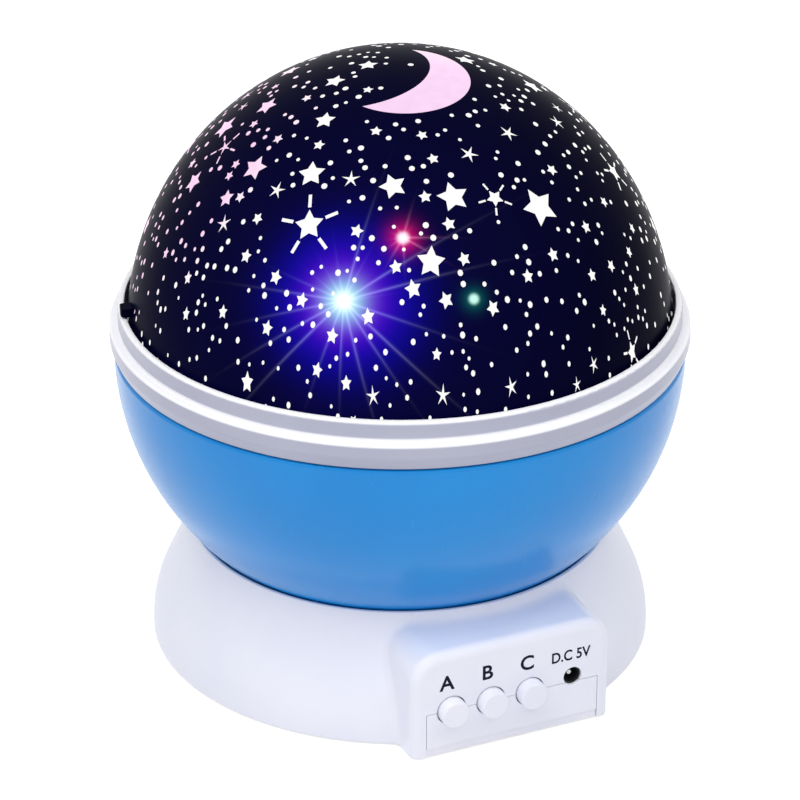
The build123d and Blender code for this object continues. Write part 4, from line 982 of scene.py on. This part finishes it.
@dataclass
class PanelPrint:
    """The control panel's lettering, printed on the front of the control box."""

    front: float = -57.6 * MM
    proud: float = 0.03 * MM
    boldness: float = 0.02
    markings: tuple[Marking, ...] = (
        Marking("mark_a", "A", -15.25, 15.9, 3.5),
        Marking("mark_b", "B", -5.85, 16.25, 3.4),
        Marking("mark_c", "C", 3.3, 16.25, 3.5),
        Marking("mark_socket", "D.C 5V", 13.6, 16.2, 2.6, 0.85))

    def build(self) -> None:
        """Makes each marking as a thin mesh on the panel."""
        ink = INK.build("panel_ink")
        for marking in self.markings:
            self.print_marking(marking, ink)
        LOG.info("panel: %d markings", len(self.markings))

    def print_marking(self, marking: Marking, ink: bpy.types.Material) -> None:
        """Makes one marking and lays it on the panel.

        Args:
            marking: What it says, and where.
            ink: Its material.
        """
        curve = bpy.data.curves.new(marking.name, "FONT")
        curve.body = marking.words
        curve.extrude = 0.02
        curve.offset = self.boldness
        flat = bpy.data.objects.new(marking.name, curve)
        bpy.context.scene.collection.objects.link(flat)
        bpy.context.view_layer.update()
        data = bpy.data.meshes.new_from_object(flat.evaluated_get(bpy.context.evaluated_depsgraph_get()))
        bpy.data.objects.remove(flat)
        xs = [vertex.co.x for vertex in data.vertices]
        ys = [vertex.co.y for vertex in data.vertices]
        scale = marking.height * MM / (max(ys) - min(ys))
        mesh = bmesh.new()
        mesh.from_mesh(data)
        bpy.data.meshes.remove(data)
        middle = (min(xs) + max(xs)) / 2
        for vertex in mesh.verts:
            across = (vertex.co.x - middle) * scale * marking.stretch
            up = (vertex.co.y - min(ys)) * scale
            out = self.proud if vertex.co.z > 0 else -self.proud
            vertex.co = Vector((marking.middle * MM + across, self.front - out, marking.foot * MM + up))
        add_piece(marking.name, mesh, ink, "base").data.shade_flat()


# ---- Studio ------------------------------------------------------------------------------
@dataclass(frozen=True)
class Lamp:
    """A soft round lamp, aimed at the object's middle."""

    name: str
    heading: float
    height: float
    distance: float
    size: float
    power: float


@dataclass
class Studio:
    """The pale floor, the world, the lamps and the camera."""

    axis_point: Vector = field(default_factory=lambda: Vector((0, 0, 70 * MM)))
    heading: float = -24.3
    height: float = 25.81
    aim: float = 26.84
    distance: float = 0.8
    lens: float = 166.9
    floor_radius: float = 6.0
    floor_lift: float = 0.5
    world_strength: float = 0.48
    lamps: tuple[Lamp, ...] = (
        Lamp("key", -65.0, 58.0, 0.9, 0.7, 3.2),
        Lamp("fill", 30.0, 56.0, 0.9, 0.7, 1.8),
        Lamp("front", -24.0, 28.0, 1.1, 0.9, 1.3),
        Lamp("top", 0.0, 88.0, 0.9, 0.9, 0.8))

    def build(self) -> None:
        """Makes the whole studio."""
        self.make_camera()
        self.make_floor()
        self.make_world()
        for lamp in self.lamps:
            self.make_lamp(lamp)
        bpy.context.scene.view_settings.view_transform = "Standard"
        LOG.info("studio: camera, floor, world and %d lamps", len(self.lamps))

    @staticmethod
    def direction(heading: float, height: float) -> Vector:
        """Returns the unit arm from the object to a place round it."""
        around, up = math.radians(heading), math.radians(height)
        return Vector((math.sin(around) * math.cos(up), -math.cos(around) * math.cos(up), math.sin(up)))

    def make_camera(self) -> None:
        """Makes the camera at the viewing angle."""
        data = bpy.data.cameras.new("camera")
        data.lens = self.lens
        data.sensor_width = 36.0
        data.clip_start, data.clip_end = 0.05, 50.0
        camera = bpy.data.objects.new("camera", data)
        bpy.context.scene.collection.objects.link(camera)
        camera.location = self.axis_point + self.direction(self.heading, self.height) * self.distance
        camera.rotation_mode = "QUATERNION"
        camera.rotation_quaternion = (-self.direction(self.heading, self.aim)).to_track_quat("-Z", "Y")
        bpy.context.scene.camera = camera

    @staticmethod
    def seen_directly(graph: Graph) -> bpy.types.NodeSocket:
        """Returns 1 for rays that show the backdrop: from the camera, a gloss or a clear surface."""
        path = graph.node("LightPath").outputs
        direct = graph.math("MAXIMUM", path["Is Camera Ray"], path["Is Glossy Ray"])
        return graph.math("MAXIMUM", direct, path["Is Transmission Ray"])

    def make_floor(self) -> None:
        """Makes the pale floor, whose own colour is lifted where it is seen."""
        mesh = bmesh.new()
        bmesh.ops.create_circle(mesh, cap_ends=True, radius=self.floor_radius, segments=96)
        data = bpy.data.meshes.new("floor")
        mesh.to_mesh(data)
        mesh.free()
        made, graph, shader = new_material("floor")
        tone = graph.ramp(graph.noise(9.0, 3.0), 0.3, 0.7)
        colour = graph.mix(tone, (0.86, 0.86, 0.87, 1.0), (0.84, 0.84, 0.85, 1.0))
        graph.tree.links.new(colour, shader.inputs["Base Color"])
        shader.inputs["Roughness"].default_value = 0.9
        shader.inputs["Specular IOR Level"].default_value = 0.0
        lifted = graph.math("MULTIPLY", self.seen_directly(graph), self.floor_lift)
        graph.tree.links.new(lifted, shader.inputs["Emission Strength"])
        shader.inputs["Emission Color"].default_value = (1.0, 1.0, 1.0, 1.0)
        data.materials.append(made)
        floor = bpy.data.objects.new("floor", data)
        bpy.context.scene.collection.objects.link(floor)

    def make_world(self) -> None:
        """Makes a white backdrop that lights the object softly."""
        world = bpy.data.worlds.new("world")
        world.use_nodes = True
        world.node_tree.nodes.clear()
        graph = Graph(world.node_tree)
        strength = graph.ramp(self.seen_directly(graph), 0.0, 1.0, self.world_strength, 1.0)
        back = graph.node("Background", {"Color": (1.0, 1.0, 1.0, 1.0), "Strength": strength})
        graph.node("OutputWorld", {"Surface": back.outputs[0]})
        bpy.context.scene.world = world

    def make_lamp(self, lamp: Lamp) -> None:
        """Makes one lamp, hidden from the camera and from reflections."""
        data = bpy.data.lights.new(lamp.name, "AREA")
        data.shape = "DISK"
        data.size = lamp.size
        data.energy = lamp.power
        made = bpy.data.objects.new(lamp.name, data)
        bpy.context.scene.collection.objects.link(made)
        arm = self.direction(lamp.heading, lamp.height)
        made.location = self.axis_point + arm * lamp.distance
        made.rotation_mode = "QUATERNION"
        made.rotation_quaternion = arm.to_track_quat("Z", "Y")
        made.visible_camera = False
        made.visible_glossy = False


def write_sizes() -> None:
    """Updates the view layer."""
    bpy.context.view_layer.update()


def main() -> None:
    """Builds the studio, then the projector's finishes, windows and lettering."""
    logging.basicConfig(level=logging.INFO, format="%(message)s")
    Studio().build()
    dress_frame()
    StarWindows().build()
    PanelPrint().build()
    write_sizes()


if __name__ == "__main__":
    main()
